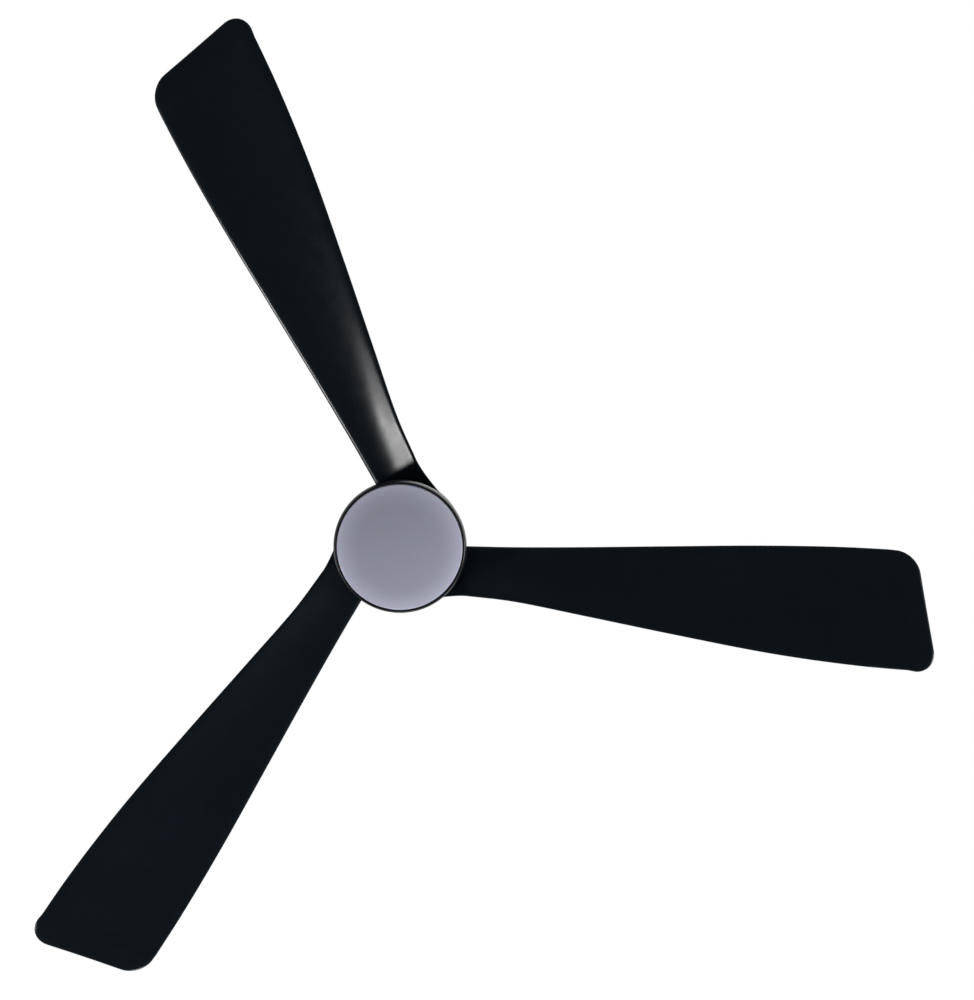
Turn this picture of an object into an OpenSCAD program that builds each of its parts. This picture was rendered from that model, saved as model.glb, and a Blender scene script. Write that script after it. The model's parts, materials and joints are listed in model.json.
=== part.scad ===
// Ceiling fan with a light: three moulded blades round an outer-rotor motor, hung from a ball on a short rod.
// The origin is the middle of the hanger bracket on the ceiling. Everything hangs below it.
// The hub is drawn upwards from the light's rim, which is "drop" below the ceiling.

/* [Overall] */
// Diameter of the circle that the blade tips sweep
sweep_d = 1320; // [1120:20:1520]
// From the ceiling down to the light's rim
drop = 280; // [272:4:420]

/* [Canopy and bracket] */
// Outside diameter of the canopy
canopy_d = 118; // [114:2:150]
// Height of the canopy
canopy_h = 62; // [60:1:80]
// Thickness of the canopy's sheet
canopy_wall = 1.2; // [0.8:0.1:2]
// Radius of the canopy's lower corner
canopy_corner_r = 26; // [12:1:30]
// Thickness of the bracket's sheet
bracket_t = 2.5; // [2:0.1:3.5]
// Distance between the two ceiling screws
ceiling_screw_spacing = 89; // [80:1:89]
// Width of the slots for the ceiling screws
ceiling_slot_w = 5.2; // [4.2:0.1:6]
// Length of the slots, end to end
ceiling_slot_l = 9; // [7:0.5:10]
// Hole for the supply cable
cable_hole_d = 12.7; // [8:0.1:14]
// Diameter of the hanger ball
ball_d = 44; // [40:1:46]
// From the ceiling down to the middle of the ball
ball_depth = 38; // [38:1:40]
// How far the rod can lean each way
lean_angle = 12; // [4:1:14]

/* [Rod and coupling] */
// Outside diameter of the rod
rod_d = 21; // [19:0.5:21.5]
// Wall of the rod's tube
rod_wall = 2; // [1.5:0.1:2.5]
// Outside diameter of the coupling's tube
coupling_d = 32; // [30:1:34]
// Diameter of the clevis pin
clevis_pin_d = 6.4; // [5:0.1:7]
// Diameter of the coupling cover's foot
cover_foot_d = 66; // [64:1:72]
// Height of the coupling cover
cover_h = 54; // [50:1:60]

/* [Motor] */
// Diameter of the hollow shaft
shaft_d = 17; // [16:0.5:17.5]
// Bore of the hollow shaft, for the leads
shaft_bore_d = 10; // [9.6:0.1:11]
// Outside diameter of the bearings
bearing_d = 40; // [39:0.5:42]
// Width of the bearings
bearing_w = 12; // [11:0.5:12]
// Number of teeth on the stator
stator_teeth = 12; // [9:3:12]
// Number of magnets in the rotor
magnet_count = 14; // [10:2:20]
// Outside diameter of the stator's teeth
stator_d = 96; // [92:1:98]
// Gap between the teeth and the magnets
air_gap = 0.7; // [0.5:0.1:1]

/* [Hub] */
// Diameter of the blade collar at its lower edge
collar_d = 152.4; // [148:0.2:158]
// Diameter of the blade collar at its upper edge
collar_top_d = 149.2; // [146:0.2:156]
// Wall of the collar
collar_wall = 3.4; // [2.6:0.1:4]
// Wall of the covers
cover_wall = 2; // [1.6:0.1:2.4]

/* [Light] */
// Diameter of the opal diffuser
diffuser_d = 151; // [144:0.5:152]
// How far the diffuser bulges below its rim
diffuser_dome = 8; // [3:0.5:14]
// Wall of the diffuser
diffuser_wall = 2.4; // [1.6:0.1:3]
// Largest diameter of the bezel ring
bezel_d = 159.7; // [157:0.1:166]
// Height of the bezel ring
bezel_h = 13; // [13:0.5:16]
// Twist that frees the diffuser
twist_angle = 16; // [10:1:20]
// Number of light-emitting chips in the inner and the outer ring
chip_counts = [12, 20];

/* [Blades] */
// Thickness of a blade near the hub
root_thickness = 7.4; // [6:0.2:9]
// Thickness of a blade near its tip
tip_thickness = 5; // [4:0.2:7]
// How far the middle of a blade bows up near the hub
root_bow = 5; // [0:0.5:7]
// How far the middle of a blade bows up at the tip
tip_bow = 4; // [0:0.5:7]
// Radius of the tip's corners
tip_corner_r = 27; // [10:1:30]
// How far the tip's leading corner is set back from its trailing corner
tip_rake = 31; // [0:1:50]

/* [Hidden] */
$fn = 96;

// Clearances
fit = 0.05;
ball_clear = 0.1;
loose = 0.3;
cut = 1;

// Screws: shank radius, head radius, head height
m3 = [1.5, 2.8, 1.8];
m4 = [2, 3.7, 2.4];
m5 = [2.5, 4.4, 2.6];
screw_fn = 32;

// Bracket
plate_l = ceiling_screw_spacing + ceiling_slot_l + 4;
plate_w = 34;
ear_w = 28;
ear_reach = 50;
leg_gap = 5;
leg_x = ball_d / 2 + leg_gap;
leg_w = 30;
seat_r = leg_x + bracket_t;
seat_top = 5;
seat_bottom = 15;
mouth_w = rod_d + 4;
tab_w = 18;
tab_h = 22;
tab_screw_z = -14;
key_w = 6;
key_depth = 2.5;
key_room = 0.5;
key_in_r = ball_d / 2 - key_depth;
// Half the rod's width at the ball's middle when it leans, with room left
key_far = rod_d / 2 / cos(lean_angle) + key_room;
// The key stops above where its inner face would meet the leaning rod
key_meets = pow(cos(lean_angle), 2)
  * (sqrt(pow(key_in_r / cos(lean_angle), 2) - pow(key_far, 2)) - tan(lean_angle) * key_far);
key_bottom = min(seat_bottom, key_meets);
cable_y = -27;
ball_z = -ball_depth;

// Canopy
canopy_r = canopy_d / 2;
canopy_gap = 0.8;
canopy_hole_r = rod_d / 2 / cos(lean_angle) + (canopy_h - ball_depth) * tan(lean_angle) + 1.2;

// Ball and rod
ball_top = 9;
ball_bottom = 17;
pin_above = 4;
ball_pin_r = 3;
ball_pin_l = 30;
rod_r = rod_d / 2;
rod_bore_r = rod_r - rod_wall;
rod_over_ball = 12;
grub_r = 3;
grub_l = 7;
wire_r = 0.9;
wire_pitch = 2.6;
wire_sides = 8;
// How far out the leads run in the rod: a share of its bore, clear of the pins and of the wall
lead_out = rod_bore_r * 56 / 85;

// Heights in the hub, up from the light's rim
housing_top = 58;
bracket_level = 52;
light_bracket_t = 2;
nut_h = 7;
rotor_bottom = 60;
lower_bearing_level = 62;
carrier_level = lower_bearing_level + bearing_w;
upper_bearing_level = 86;
stator_mid = (carrier_level + upper_bearing_level) / 2;
stator_h = 18;
lid_level = 94;
lid_t = 3;
collar_level = 62;
collar_h = 36;
motor_cover_level = collar_level + collar_h + 3;
cover_seat_level = 121;
cover_flange_t = 2.5;
cover_foot_level = cover_seat_level + cover_flange_t;
shaft_top = 119;
web_level = 120;
rod_level = 125;
clevis_level = 142;
coupling_grub_level = 158;
coupling_top = 168;
shaft_grub_level = 109;

// Coupling cover: it narrows upwards, and its neck stays wide enough to clear the coupling's top
function cover_narrowing(t) = 0.35 * t + 0.65 * t ^ 2;
cover_sheet = 1.6;
cover_low = cover_foot_level + loose;
cover_in_r = cover_foot_d / 2 - cover_sheet;
coupling_top_share = (coupling_top - cover_low) / (cover_h - cover_sheet);
neck_clear_r = cover_in_r - (cover_in_r - coupling_d / 2 - 2 * loose) / cover_narrowing(coupling_top_share);
neck_r = max(rod_r + 3.6, neck_clear_r + cover_sheet);
cover_hole_r = rod_r + 2;
cover_screw_at = 24;

// Motor
shaft_r = shaft_d / 2;
race_pitch_r = (shaft_d + bearing_d) / 4;
race_ball_r = 3.4;
race_r = race_ball_r + 0.1;
race_balls = 8;
inner_ring_r = race_pitch_r - 1.95;
outer_ring_r = race_pitch_r + 1.95;
shoulder_r = shaft_r + 2;
stator_bore_r = 26;
yoke_r = 32;
tooth_w = 6;
shoe_t = 2.4;
insulator_t = 1;
coil_clear = 0.2;
coil_t = 2.6;
magnet_r = stator_d / 2 + air_gap;
magnet_t = 2.9;
magnet_h = 22;
rotor_wall = 2.3;
rotor_in_r = magnet_r + magnet_t + fit;
rotor_r = rotor_in_r + rotor_wall;
rim_r = rotor_r + 6.5;
rim_screw_r = rotor_r + 3.2;
flange_level = 76;
flange_t = 3;
flange_r = collar_top_d / 2 - collar_wall - 1.5;
web_t = 5;
web_in_r = rotor_r + 3;
blade_screw_r = flange_r - 4.4;

// Collar and blades
blade_count = 3;
collar_r = collar_d / 2;
collar_top_r = collar_top_d / 2;
collar_lead = 22;
seam = 0.5;
root_r = (collar_r + collar_top_r) / 2 - collar_wall / 2 + 0.4;
lead_angle = 2.6;
trail_angle = 80.5;
root_out = 4;
tip_inset = 4;
tip_reach = sweep_d / 2 - tip_inset;
// Fraction of the way out, then the leading and the trailing edge: how far towards the trailing side, and how high
blade_plan = [
  [0.00, 3.3, 62.5, 86.0, 66.0],
  [0.10, 1.8, 66.7, 82.3, 64.0],
  [0.25, -2.0, 80.2, 78.2, 61.2],
  [0.45, -8.2, 98.7, 72.5, 56.4],
  [0.65, -14.2, 115.6, 66.3, 51.2],
  [0.83, -17.0, 125.5, 62.8, 48.0],
  [1.00, -16.2, 129.5, 59.8, 45.2]
];
root_rings = 4;
main_rings = 14;
tip_rings = 5;
ring_steps = 12;

// Light
diffuser_r = diffuser_d / 2;
diffuser_skirt = 10.4;
lug_w = 12;
lug_reach = 1.7;
lug_level = 8;
lug_t = 2.4;
bezel_r = bezel_d / 2;
bezel_bore_r = diffuser_r + 0.35;
bezel_lip = 1.15;
bezel_flange_r = diffuser_r - 10.5;
bezel_post_r = 3.2;
bezel_post_at = bezel_flange_r + 4;
led_plate_level = 22;
led_plate_t = 2;
led_board_t = 1.6;
led_board_r = bezel_flange_r - 1;
led_board_in_r = 18;
standoff_at = 46;
standoff_r = 4;
chip_rings = [30, 57];
housing_screw_at = 55;
housing_foot_r = bezel_r - 0.4;
housing_top_r = collar_r + 0.5;
driver = [56, 30, 19];
driver_y = -35;

// Moves what is drawn up from the light's rim to where the hub hangs
module hub() {
  translate([0, 0, -drop]) children();
}

// A pipe from one level to another
module pipe(r_out, r_in, low, high) {
  translate([0, 0, low])
    difference() {
      cylinder(r = r_out, h = high - low);
      translate([0, 0, -cut]) cylinder(r = r_in, h = high - low + 2 * cut);
    }
}

// Repeats its child round the axis, at a radius
module ring_of(count, radius, first = 0) {
  for (i = [0 : count - 1])
    rotate([0, 0, first + i * 360 / count]) translate([radius, 0, 0]) children();
}

// A screw with its head up at the origin and its shank down
module screw(size, length) {
  difference() {
    union() {
      cylinder(r = size[1], h = size[2], $fn = screw_fn);
      translate([0, 0, -length]) cylinder(r = size[0], h = length + size[2] / 2, $fn = screw_fn);
    }
    translate([0, 0, size[2] / 2]) cylinder(r = size[0] * 0.7, h = size[2], $fn = 6);
  }
}

// A grub screw along +Y, with its point at the origin
module grub(radius, length) {
  rotate([-90, 0, 0])
    difference() {
      cylinder(r = radius, h = length, $fn = screw_fn);
      translate([0, 0, length - 3]) cylinder(r = radius * 0.55, h = 3 + cut, $fn = 6);
    }
}

// A round wire through a list of points, with mitred corners. It bends mostly in the Y-Z plane.
function unit(v) = v / norm(v);
function wire_ring(points, i, radius) =
  let (
    before = unit(i > 0 ? points[i] - points[i - 1] : points[1] - points[0]),
    after = unit(i < len(points) - 1 ? points[i + 1] - points[i] : points[i] - points[i - 1]),
    along = unit(before + after),
    up = unit(cross(along, [1, 0, 0])),
    side = cross(up, along),
    stretch = 1 / (along * before)
  )
  [for (k = [0 : wire_sides - 1])
    points[i] + radius * (side * cos(k * 360 / wire_sides) + up * stretch * sin(k * 360 / wire_sides))];
module wire(points, radius) {
  last = len(points) - 1;
  rings = [for (i = [0 : last]) each wire_ring(points, i, radius)];
  walls = [
    for (i = [0 : last - 1])
      for (k = [0 : wire_sides - 1])
        let (a = i * wire_sides + k, b = i * wire_sides + (k + 1) % wire_sides)
          for (face = [[a, a + wire_sides, b], [b, a + wire_sides, b + wire_sides]]) face
  ];
  first_end = [for (k = [0 : wire_sides - 1]) k];
  last_end = [for (k = [wire_sides - 1 : -1 : 0]) last * wire_sides + k];
  polyhedron(rings, concat(walls, [first_end, last_end]), convexity = 6);
}

// Half of a bearing's race, as the ring that the balls run in
module race() {
  rotate_extrude() translate([race_pitch_r, 0]) circle(r = race_r, $fn = 48);
}

module hanger_bracket() {
  color("silver") {
    difference() {
      union() {
        translate([-plate_l / 2, -plate_w / 2, -bracket_t]) cube([plate_l, plate_w, bracket_t]);
        translate([-ear_w / 2, -ear_reach, -bracket_t]) cube([ear_w, ear_reach, bracket_t]);
        for (side = [0, 180])
          rotate([0, 0, side]) {
            translate([plate_l / 2 - cut, -tab_w / 2, -bracket_t]) cube([bracket_t + cut, tab_w, bracket_t]);
            translate([plate_l / 2, -tab_w / 2, -tab_h]) cube([bracket_t, tab_w, tab_h]);
            translate([leg_x, -leg_w / 2, ball_z - seat_bottom])
              cube([bracket_t, leg_w, ball_depth + seat_bottom]);
          }
        translate([0, 0, ball_z - seat_bottom]) cylinder(r = seat_r, h = seat_bottom - seat_top);
      }
      translate([0, 0, ball_z]) sphere(r = ball_d / 2 + ball_clear);
      translate([-mouth_w / 2, 0, ball_z - seat_bottom - cut])
        cube([mouth_w, seat_r + cut, seat_bottom - seat_top + 2 * cut]);
      for (side = [-1, 1])
        translate([side * ceiling_screw_spacing / 2, 0, -bracket_t - cut]) ceiling_slot();
      translate([0, cable_y, -bracket_t - cut]) cylinder(d = cable_hole_d, h = bracket_t + 2 * cut);
      for (side = [0, 180])
        rotate([0, 0, side])
          translate([plate_l / 2 - cut, 0, tab_screw_z])
            rotate([0, 90, 0]) cylinder(r = m4[0] + fit, h = bracket_t + 2 * cut, $fn = screw_fn);
      translate([leg_x - cut, 0, tab_screw_z])
        rotate([0, 90, 0]) cylinder(r = m4[0] + fit, h = bracket_t + 2 * cut, $fn = screw_fn);
    }
    ball_key();
  }
}

// The slot for one ceiling screw, along X
module ceiling_slot() {
  straight = ceiling_slot_l - ceiling_slot_w;
  translate([-straight / 2, -ceiling_slot_w / 2, 0]) cube([straight, ceiling_slot_w, bracket_t + 2 * cut]);
  for (side = [-1, 1])
    translate([side * straight / 2, 0, 0]) cylinder(d = ceiling_slot_w, h = bracket_t + 2 * cut, $fn = 48);
}

// The tooth in the seat that stops the ball from turning round the rod
module ball_key() {
  translate([0, 0, ball_z])
    intersection() {
      difference() {
        sphere(r = ball_d / 2 + 1);
        sphere(r = key_in_r);
      }
      translate([-key_w / 2, -ball_d, -key_bottom]) cube([key_w, ball_d, key_bottom - seat_top]);
    }
}

// The canopy's outline turned round: a straight side, a round corner and a flat floor
module canopy_form(radius, height, corner) {
  rotate_extrude()
    intersection() {
      translate([0, -height]) square([radius, height]);
      union() {
        translate([0, -height]) square([radius - corner, height]);
        translate([0, corner - height]) square([radius, height - corner]);
        translate([radius - corner, corner - height]) circle(r = corner);
      }
    }
}

module canopy() {
  color("#14171c")
    difference() {
      canopy_form(canopy_r, canopy_h, canopy_corner_r);
      canopy_form(canopy_r - canopy_wall, canopy_h - canopy_wall, canopy_corner_r - canopy_wall);
      translate([0, 0, -canopy_h - cut]) cylinder(r = canopy_hole_r, h = canopy_wall + 2 * cut);
      translate([0, 0, -canopy_gap]) cylinder(r = canopy_r + cut, h = canopy_gap + cut);
      rotate([0, 90, 0])
        translate([-tab_screw_z, 0, -canopy_r - cut])
          cylinder(r = m4[0] + loose, h = canopy_d + 2 * cut, $fn = screw_fn);
    }
}

module canopy_screws() {
  color("#1a1d22")
    for (side = [0, 180])
      rotate([0, 0, side])
        translate([canopy_r + fit, 0, tab_screw_z])
          rotate([0, 90, 0]) screw(m4, canopy_r - plate_l / 2 + 3);
}

module receiver() {
  color("#24262a")
    translate([-leg_x + 0.5, -leg_w / 2, -bracket_t - 12.5]) {
      cube([2 * leg_x - 1, leg_w, 12]);
      translate([leg_x - 12, leg_w - cut, 3]) cube([23, 3 + cut, 6]);
    }
}

module terminal_block() {
  color("ivory")
    difference() {
      translate([-12, -ear_reach, -bracket_t - 14]) cube([24, 12, 14 - fit]);
      for (i = [-1 : 1])
        translate([i * 7.5, -ear_reach - cut, -bracket_t - 9])
          rotate([-90, 0, 0]) cylinder(r = 1.7, h = 12 + 2 * cut, $fn = 24);
    }
}

module bracket_leads() {
  color("firebrick")
    for (i = [-1 : 1])
      translate([i * 7.5, 4 - ear_reach, -bracket_t - 9])
        rotate([-90, 0, 0]) cylinder(r = 1.2, h = ear_reach - 4 - leg_w / 2 - fit, $fn = 24);
}

module earth_screw() {
  color("#4d8a4a")
    translate([leg_x + bracket_t + fit, 0, tab_screw_z]) rotate([0, 90, 0]) screw(m4, bracket_t + loose);
}

module hanger_ball() {
  color("#202226")
    translate([0, 0, ball_z])
      difference() {
        sphere(d = ball_d);
        translate([0, 0, ball_top]) cylinder(r = ball_d, h = ball_d);
        translate([0, 0, -ball_bottom - ball_d]) cylinder(r = ball_d, h = ball_d);
        translate([0, 0, -ball_d]) cylinder(r = rod_r + fit, h = 2 * ball_d);
        difference() {
          translate([-key_w / 2 - 0.4, -ball_d, -ball_d]) cube([key_w + 0.8, ball_d, 2 * ball_d]);
          sphere(r = key_in_r - 0.4);
        }
        translate([-ball_pin_l / 2 - 0.2, -ball_pin_r - fit, pin_above])
          cube([ball_pin_l + 0.4, 2 * (ball_pin_r + fit), ball_d]);
        translate([-ball_pin_l / 2 - 0.2, 0, pin_above])
          rotate([0, 90, 0]) cylinder(r = ball_pin_r + fit, h = ball_pin_l + 0.4);
        translate([0, 0, -4]) rotate([-90, 0, 0]) cylinder(r = grub_r + fit, h = ball_d, $fn = screw_fn);
      }
}

module ball_pin() {
  color("silver")
    translate([-ball_pin_l / 2, 0, ball_z + pin_above])
      rotate([0, 90, 0]) cylinder(r = ball_pin_r, h = ball_pin_l);
}

module ball_set_screw() {
  color("dimgray") translate([0, rod_r + fit, ball_z - 4]) grub(grub_r, grub_l);
}

module downrod() {
  color("#14171c")
    difference() {
      pipe(rod_r, rod_bore_r, rod_level - drop, ball_z + rod_over_ball);
      translate([-rod_d, 0, ball_z + pin_above])
        rotate([0, 90, 0]) cylinder(r = ball_pin_r + fit, h = 2 * rod_d);
      translate([-rod_d, 0, clevis_level - drop])
        rotate([0, 90, 0]) cylinder(r = clevis_pin_d / 2 + fit, h = 2 * rod_d);
    }
}

module coupling() {
  color("#2a2c30")
    hub()
      difference() {
        union() {
          translate([0, 0, upper_bearing_level + bearing_w])
            cylinder(r = inner_ring_r - 0.8, h = 4);
          translate([0, 0, upper_bearing_level + bearing_w + 3])
            cylinder(r = shaft_r + 5.5, h = cover_seat_level - upper_bearing_level - bearing_w - 4);
          translate([0, 0, cover_seat_level - 5]) cylinder(r = 30, h = 5);
          translate([0, 0, cover_seat_level - 1]) cylinder(d = coupling_d, h = coupling_top - cover_seat_level + 1);
        }
        translate([0, 0, upper_bearing_level]) cylinder(r = shaft_r + fit, h = web_level - upper_bearing_level);
        translate([0, 0, web_level - cut]) cylinder(r = shaft_bore_d / 2 + 1.5, h = 6);
        translate([0, 0, web_level + 4]) cylinder(r = rod_r + fit, h = coupling_top - web_level);
        translate([-coupling_d, 0, clevis_level])
          rotate([0, 90, 0]) cylinder(r = clevis_pin_d / 2 + fit, h = 2 * coupling_d);
        for (level = [coupling_grub_level, shaft_grub_level])
          translate([0, -coupling_d, level])
            rotate([-90, 0, 0]) cylinder(r = grub_r + fit, h = 2 * coupling_d, $fn = screw_fn);
        ring_of(3, cover_screw_at, 30)
          translate([0, 0, cover_seat_level - 6]) cylinder(r = m5[0] + fit, h = 8, $fn = screw_fn);
      }
}

module clevis_pin() {
  reach = coupling_d / 2;
  color("silver")
    hub()
      translate([-reach - 2.5, 0, clevis_level])
        rotate([0, 90, 0])
          difference() {
            union() {
              cylinder(d = clevis_pin_d + 3.6, h = 2.3);
              cylinder(d = clevis_pin_d, h = 2 * reach + 8.5);
            }
            translate([0, 0, 2 * reach + 5])
              rotate([90, 0, 0]) cylinder(r = 1.1, h = 2 * clevis_pin_d, center = true, $fn = 24);
          }
}

// The straight leg goes through the pin, and the loop grips round the outside
module r_clip() {
  clip_x = coupling_d / 2 + 2.5;
  back = clevis_pin_d / 2 + 1.1;
  color("gainsboro")
    hub()
      translate([clip_x, 0, clevis_level])
        wire([
          [0, -8, 0], [0, 9, 0], [0, 11, 1.6], [0, 11, 4], [0, 9, 5.4], [0, 4, back + 0.6], [0, -5, back + 0.6],
          [0, -8, back + 2]
        ], 0.9);
}

module coupling_set_screws() {
  color("dimgray")
    hub()
      for (side = [0, 180])
        rotate([0, 0, side]) translate([0, rod_r + fit, coupling_grub_level]) grub(grub_r, grub_l);
}

module shaft_set_screws() {
  color("dimgray")
    hub()
      for (side = [0, 180])
        rotate([0, 0, side]) translate([0, shaft_r + fit, shaft_grub_level]) grub(grub_r, 5.4);
}

module motor_shaft() {
  color("lightgray")
    hub()
      difference() {
        union() {
          translate([0, 0, bracket_level - nut_h - 2])
            cylinder(r = shaft_r, h = shaft_top - bracket_level + nut_h + 2);
          translate([0, 0, bracket_level + light_bracket_t])
            cylinder(r = shoulder_r, h = lower_bearing_level - bracket_level - light_bracket_t);
        }
        cylinder(d = shaft_bore_d, h = drop);
        translate([-4, 0, stator_mid - 1]) cube([8, shaft_d, 5]);
      }
}

module stator_carrier() {
  color("silver")
    hub()
      difference() {
        union() {
          translate([0, 0, carrier_level + fit])
            cylinder(r = inner_ring_r - 0.8, h = upper_bearing_level - carrier_level - 2 * fit);
          translate([0, 0, stator_mid - 3.5]) cylinder(r = stator_bore_r - fit, h = 7);
        }
        cylinder(r = shaft_r + fit, h = drop);
        translate([-4, 0, stator_mid - 1]) cube([8, stator_bore_r + cut, 8]);
        ring_of(6, 18.5, 0)
          translate([0, 0, carrier_level]) cylinder(r = 3.4, h = 20, $fn = 32);
      }
}

// The toothed outline of the stator
module tooth_outline(bore, back, tooth, reach, shoe) {
  difference() {
    circle(r = back);
    circle(r = bore);
  }
  for (i = [0 : stator_teeth - 1])
    rotate(i * 360 / stator_teeth) {
      translate([back - 1, -tooth / 2]) square([reach - back + 1, tooth]);
      if (shoe > 0)
        intersection() {
          difference() {
            circle(r = stator_d / 2);
            circle(r = stator_d / 2 - shoe);
          }
          polygon([[0, 0], [stator_d, -stator_d * tan(132 / stator_teeth)],
                   [stator_d, stator_d * tan(132 / stator_teeth)]]);
        }
    }
}

module stator_core() {
  color("slategray")
    hub()
      translate([0, 0, stator_mid - stator_h / 2])
        linear_extrude(stator_h) tooth_outline(stator_bore_r, yoke_r, tooth_w, stator_d / 2 - 1, shoe_t);
}

module stator_insulators() {
  color("ivory")
    hub()
      for (level = [stator_mid - stator_h / 2 - insulator_t, stator_mid + stator_h / 2])
        translate([0, 0, level])
          linear_extrude(insulator_t)
            tooth_outline(stator_bore_r + 1, yoke_r, tooth_w, stator_d / 2 - shoe_t, 0);
}

module stator_windings() {
  hole_w = tooth_w + 2 * coil_clear;
  hole_h = stator_h + 2 * insulator_t + 2 * coil_clear;
  color("#b5651d")
    hub()
      ring_of(stator_teeth, yoke_r + 1.6)
        translate([0, 0, stator_mid])
          difference() {
            translate([0, -hole_w / 2 - coil_t, -hole_h / 2 - coil_t])
              cube([stator_d / 2 - shoe_t - yoke_r - 2.2, hole_w + 2 * coil_t, hole_h + 2 * coil_t]);
            translate([-cut, -hole_w / 2, -hole_h / 2]) cube([stator_d, hole_w, hole_h]);
          }
}

module bearing_inner_ring(level) {
  color("gainsboro")
    hub()
      translate([0, 0, level + bearing_w / 2])
        difference() {
          pipe(inner_ring_r, shaft_r + fit / 5, -bearing_w / 2, bearing_w / 2);
          race();
        }
}

module bearing_outer_ring(level) {
  color("gainsboro")
    hub()
      translate([0, 0, level + bearing_w / 2])
        difference() {
          pipe(bearing_d / 2, outer_ring_r, -bearing_w / 2, bearing_w / 2);
          race();
        }
}

module bearing_balls(level) {
  color("white")
    hub()
      translate([0, 0, level + bearing_w / 2])
        ring_of(race_balls, race_pitch_r) sphere(r = race_ball_r, $fn = 48);
}

module bearing_cage(level) {
  color("peru")
    hub()
      translate([0, 0, level + bearing_w / 2])
        difference() {
          pipe(outer_ring_r - 0.6, inner_ring_r + 0.6, -4.5, 4.5);
          ring_of(race_balls, race_pitch_r)
            rotate([0, 90, 0]) cylinder(r = race_r, h = 4 * race_r, center = true, $fn = 48);
        }
}

// The motor cover's quarter-round outline, from its flat top out and down to its lower edge
function cover_curve(flat, reach, low, high) = [
  for (i = [0 : 12]) [flat + (reach - flat) * sin(i * 7.5), low + (high - low) * cos(i * 7.5)]
];

module motor_cover() {
  flat = cover_foot_d / 2 + 4;
  outer = cover_curve(flat, collar_top_r - 0.4, motor_cover_level, cover_foot_level);
  inner = cover_curve(flat, collar_top_r - 0.4 - cover_wall, motor_cover_level, cover_seat_level);
  color("#14171c")
    hub()
      difference() {
        rotate_extrude()
          polygon(concat([[coupling_d / 2 + loose, cover_foot_level]], outer,
                         [for (i = [12 : -1 : 0]) inner[i]], [[coupling_d / 2 + loose, cover_seat_level]]));
        ring_of(3, cover_screw_at, 30)
          translate([0, 0, cover_seat_level - cut]) cylinder(r = m5[0] + loose, h = 6, $fn = screw_fn);
      }
}

module motor_cover_screws() {
  color("silver")
    hub()
      ring_of(3, cover_screw_at, 30) translate([0, 0, cover_foot_level + fit]) screw(m5, 7.4);
}

// Each motor lead comes down the rod and the shaft, out through the shaft's side and up over the stator
module motor_leads() {
  color("gold")
    for (i = [-1 : 1])
      wire([
        [i * wire_pitch, lead_out, ball_z + rod_over_ball + 2.4],
        [i * wire_pitch, lead_out, clevis_level - 7 - drop],
        [i * 2.4, 2.2, shaft_top + 2 - drop],
        [i * 2.4, 2.2, stator_mid + 1.2 - drop],
        [i * 2.4, stator_bore_r - 1.1, stator_mid + 1.2 - drop],
        [i * 2.4, stator_bore_r - 1.1, stator_mid + stator_h / 2 + insulator_t + 1.3 - drop],
        [i * 2.4, yoke_r + 1, stator_mid + stator_h / 2 + insulator_t + 1.3 - drop]
      ], wire_r);
}

// Each light lead comes down the rod and the shaft to the driver
module light_leads() {
  color("white")
    for (side = [-1, 1])
      wire([
        [side * 1.6, -lead_out, ball_z + rod_over_ball + 2.4],
        [side * 1.6, -lead_out, clevis_level - 7 - drop],
        [side * 1.4, -2.2, shaft_top + 2 - drop],
        [side * 1.4, -2.2, bracket_level - nut_h - 5 - drop],
        [side * 1.4, driver_y + driver[1] / 2 + fit, bracket_level - nut_h - 5 - drop]
      ], wire_r);
}

module lead_plug() {
  color("ivory")
    translate([-4.6, -7.2, ball_z + rod_over_ball + 2.5]) cube([9.2, 14.4, 6]);
}

module light_bracket() {
  color("silver")
    hub()
      difference() {
        pipe(60, shaft_r + fit, bracket_level, bracket_level + light_bracket_t);
        ring_of(3, housing_screw_at, 30)
          translate([0, 0, bracket_level - cut]) cylinder(r = m4[0] + fit, h = 5, $fn = screw_fn);
        ring_of(3, standoff_at, 90)
          translate([0, 0, bracket_level - cut]) cylinder(r = m3[0] + fit, h = 5, $fn = screw_fn);
      }
}

module shaft_nut() {
  color("silver")
    hub()
      translate([0, 0, bracket_level - nut_h])
        difference() {
          cylinder(r = shaft_r + 5.4, h = nut_h - fit, $fn = 6);
          translate([0, 0, -cut]) cylinder(r = shaft_r + fit, h = nut_h + 2 * cut);
        }
}

module light_housing() {
  deck = housing_top - cover_wall;
  color("#14171c")
    hub()
      difference() {
        union() {
          rotate_extrude()
            polygon([
              [housing_foot_r, bezel_h + loose], [housing_top_r, housing_top - 1.6],
              [housing_top_r - 1.6, housing_top], [50, housing_top], [50, deck],
              [housing_top_r - cover_wall, deck], [housing_foot_r - cover_wall, bezel_h + loose]
            ]);
          ring_of(3, housing_screw_at, 30)
            translate([0, 0, bracket_level + light_bracket_t + fit])
              cylinder(r = 5, h = deck - bracket_level - light_bracket_t + 1, $fn = 48);
        }
        ring_of(3, housing_screw_at, 30)
          translate([0, 0, bracket_level]) cylinder(r = m4[0] + fit, h = 8, $fn = screw_fn);
      }
}

module housing_screws() {
  color("silver")
    hub()
      ring_of(3, housing_screw_at, 30)
        translate([0, 0, bracket_level - fit]) mirror([0, 0, 1]) screw(m4, 5.4);
}

module led_driver() {
  color("whitesmoke")
    hub()
      translate([-driver[0] / 2, driver_y - driver[1] / 2, bracket_level - driver[2] - fit]) cube(driver);
}

module led_leads() {
  color("firebrick")
    hub()
      for (side = [-1, 1])
        translate([side * 4, driver_y, led_plate_level + fit])
          cylinder(r = wire_r, h = bracket_level - driver[2] - led_plate_level - 3 * fit, $fn = 24);
}

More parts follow.
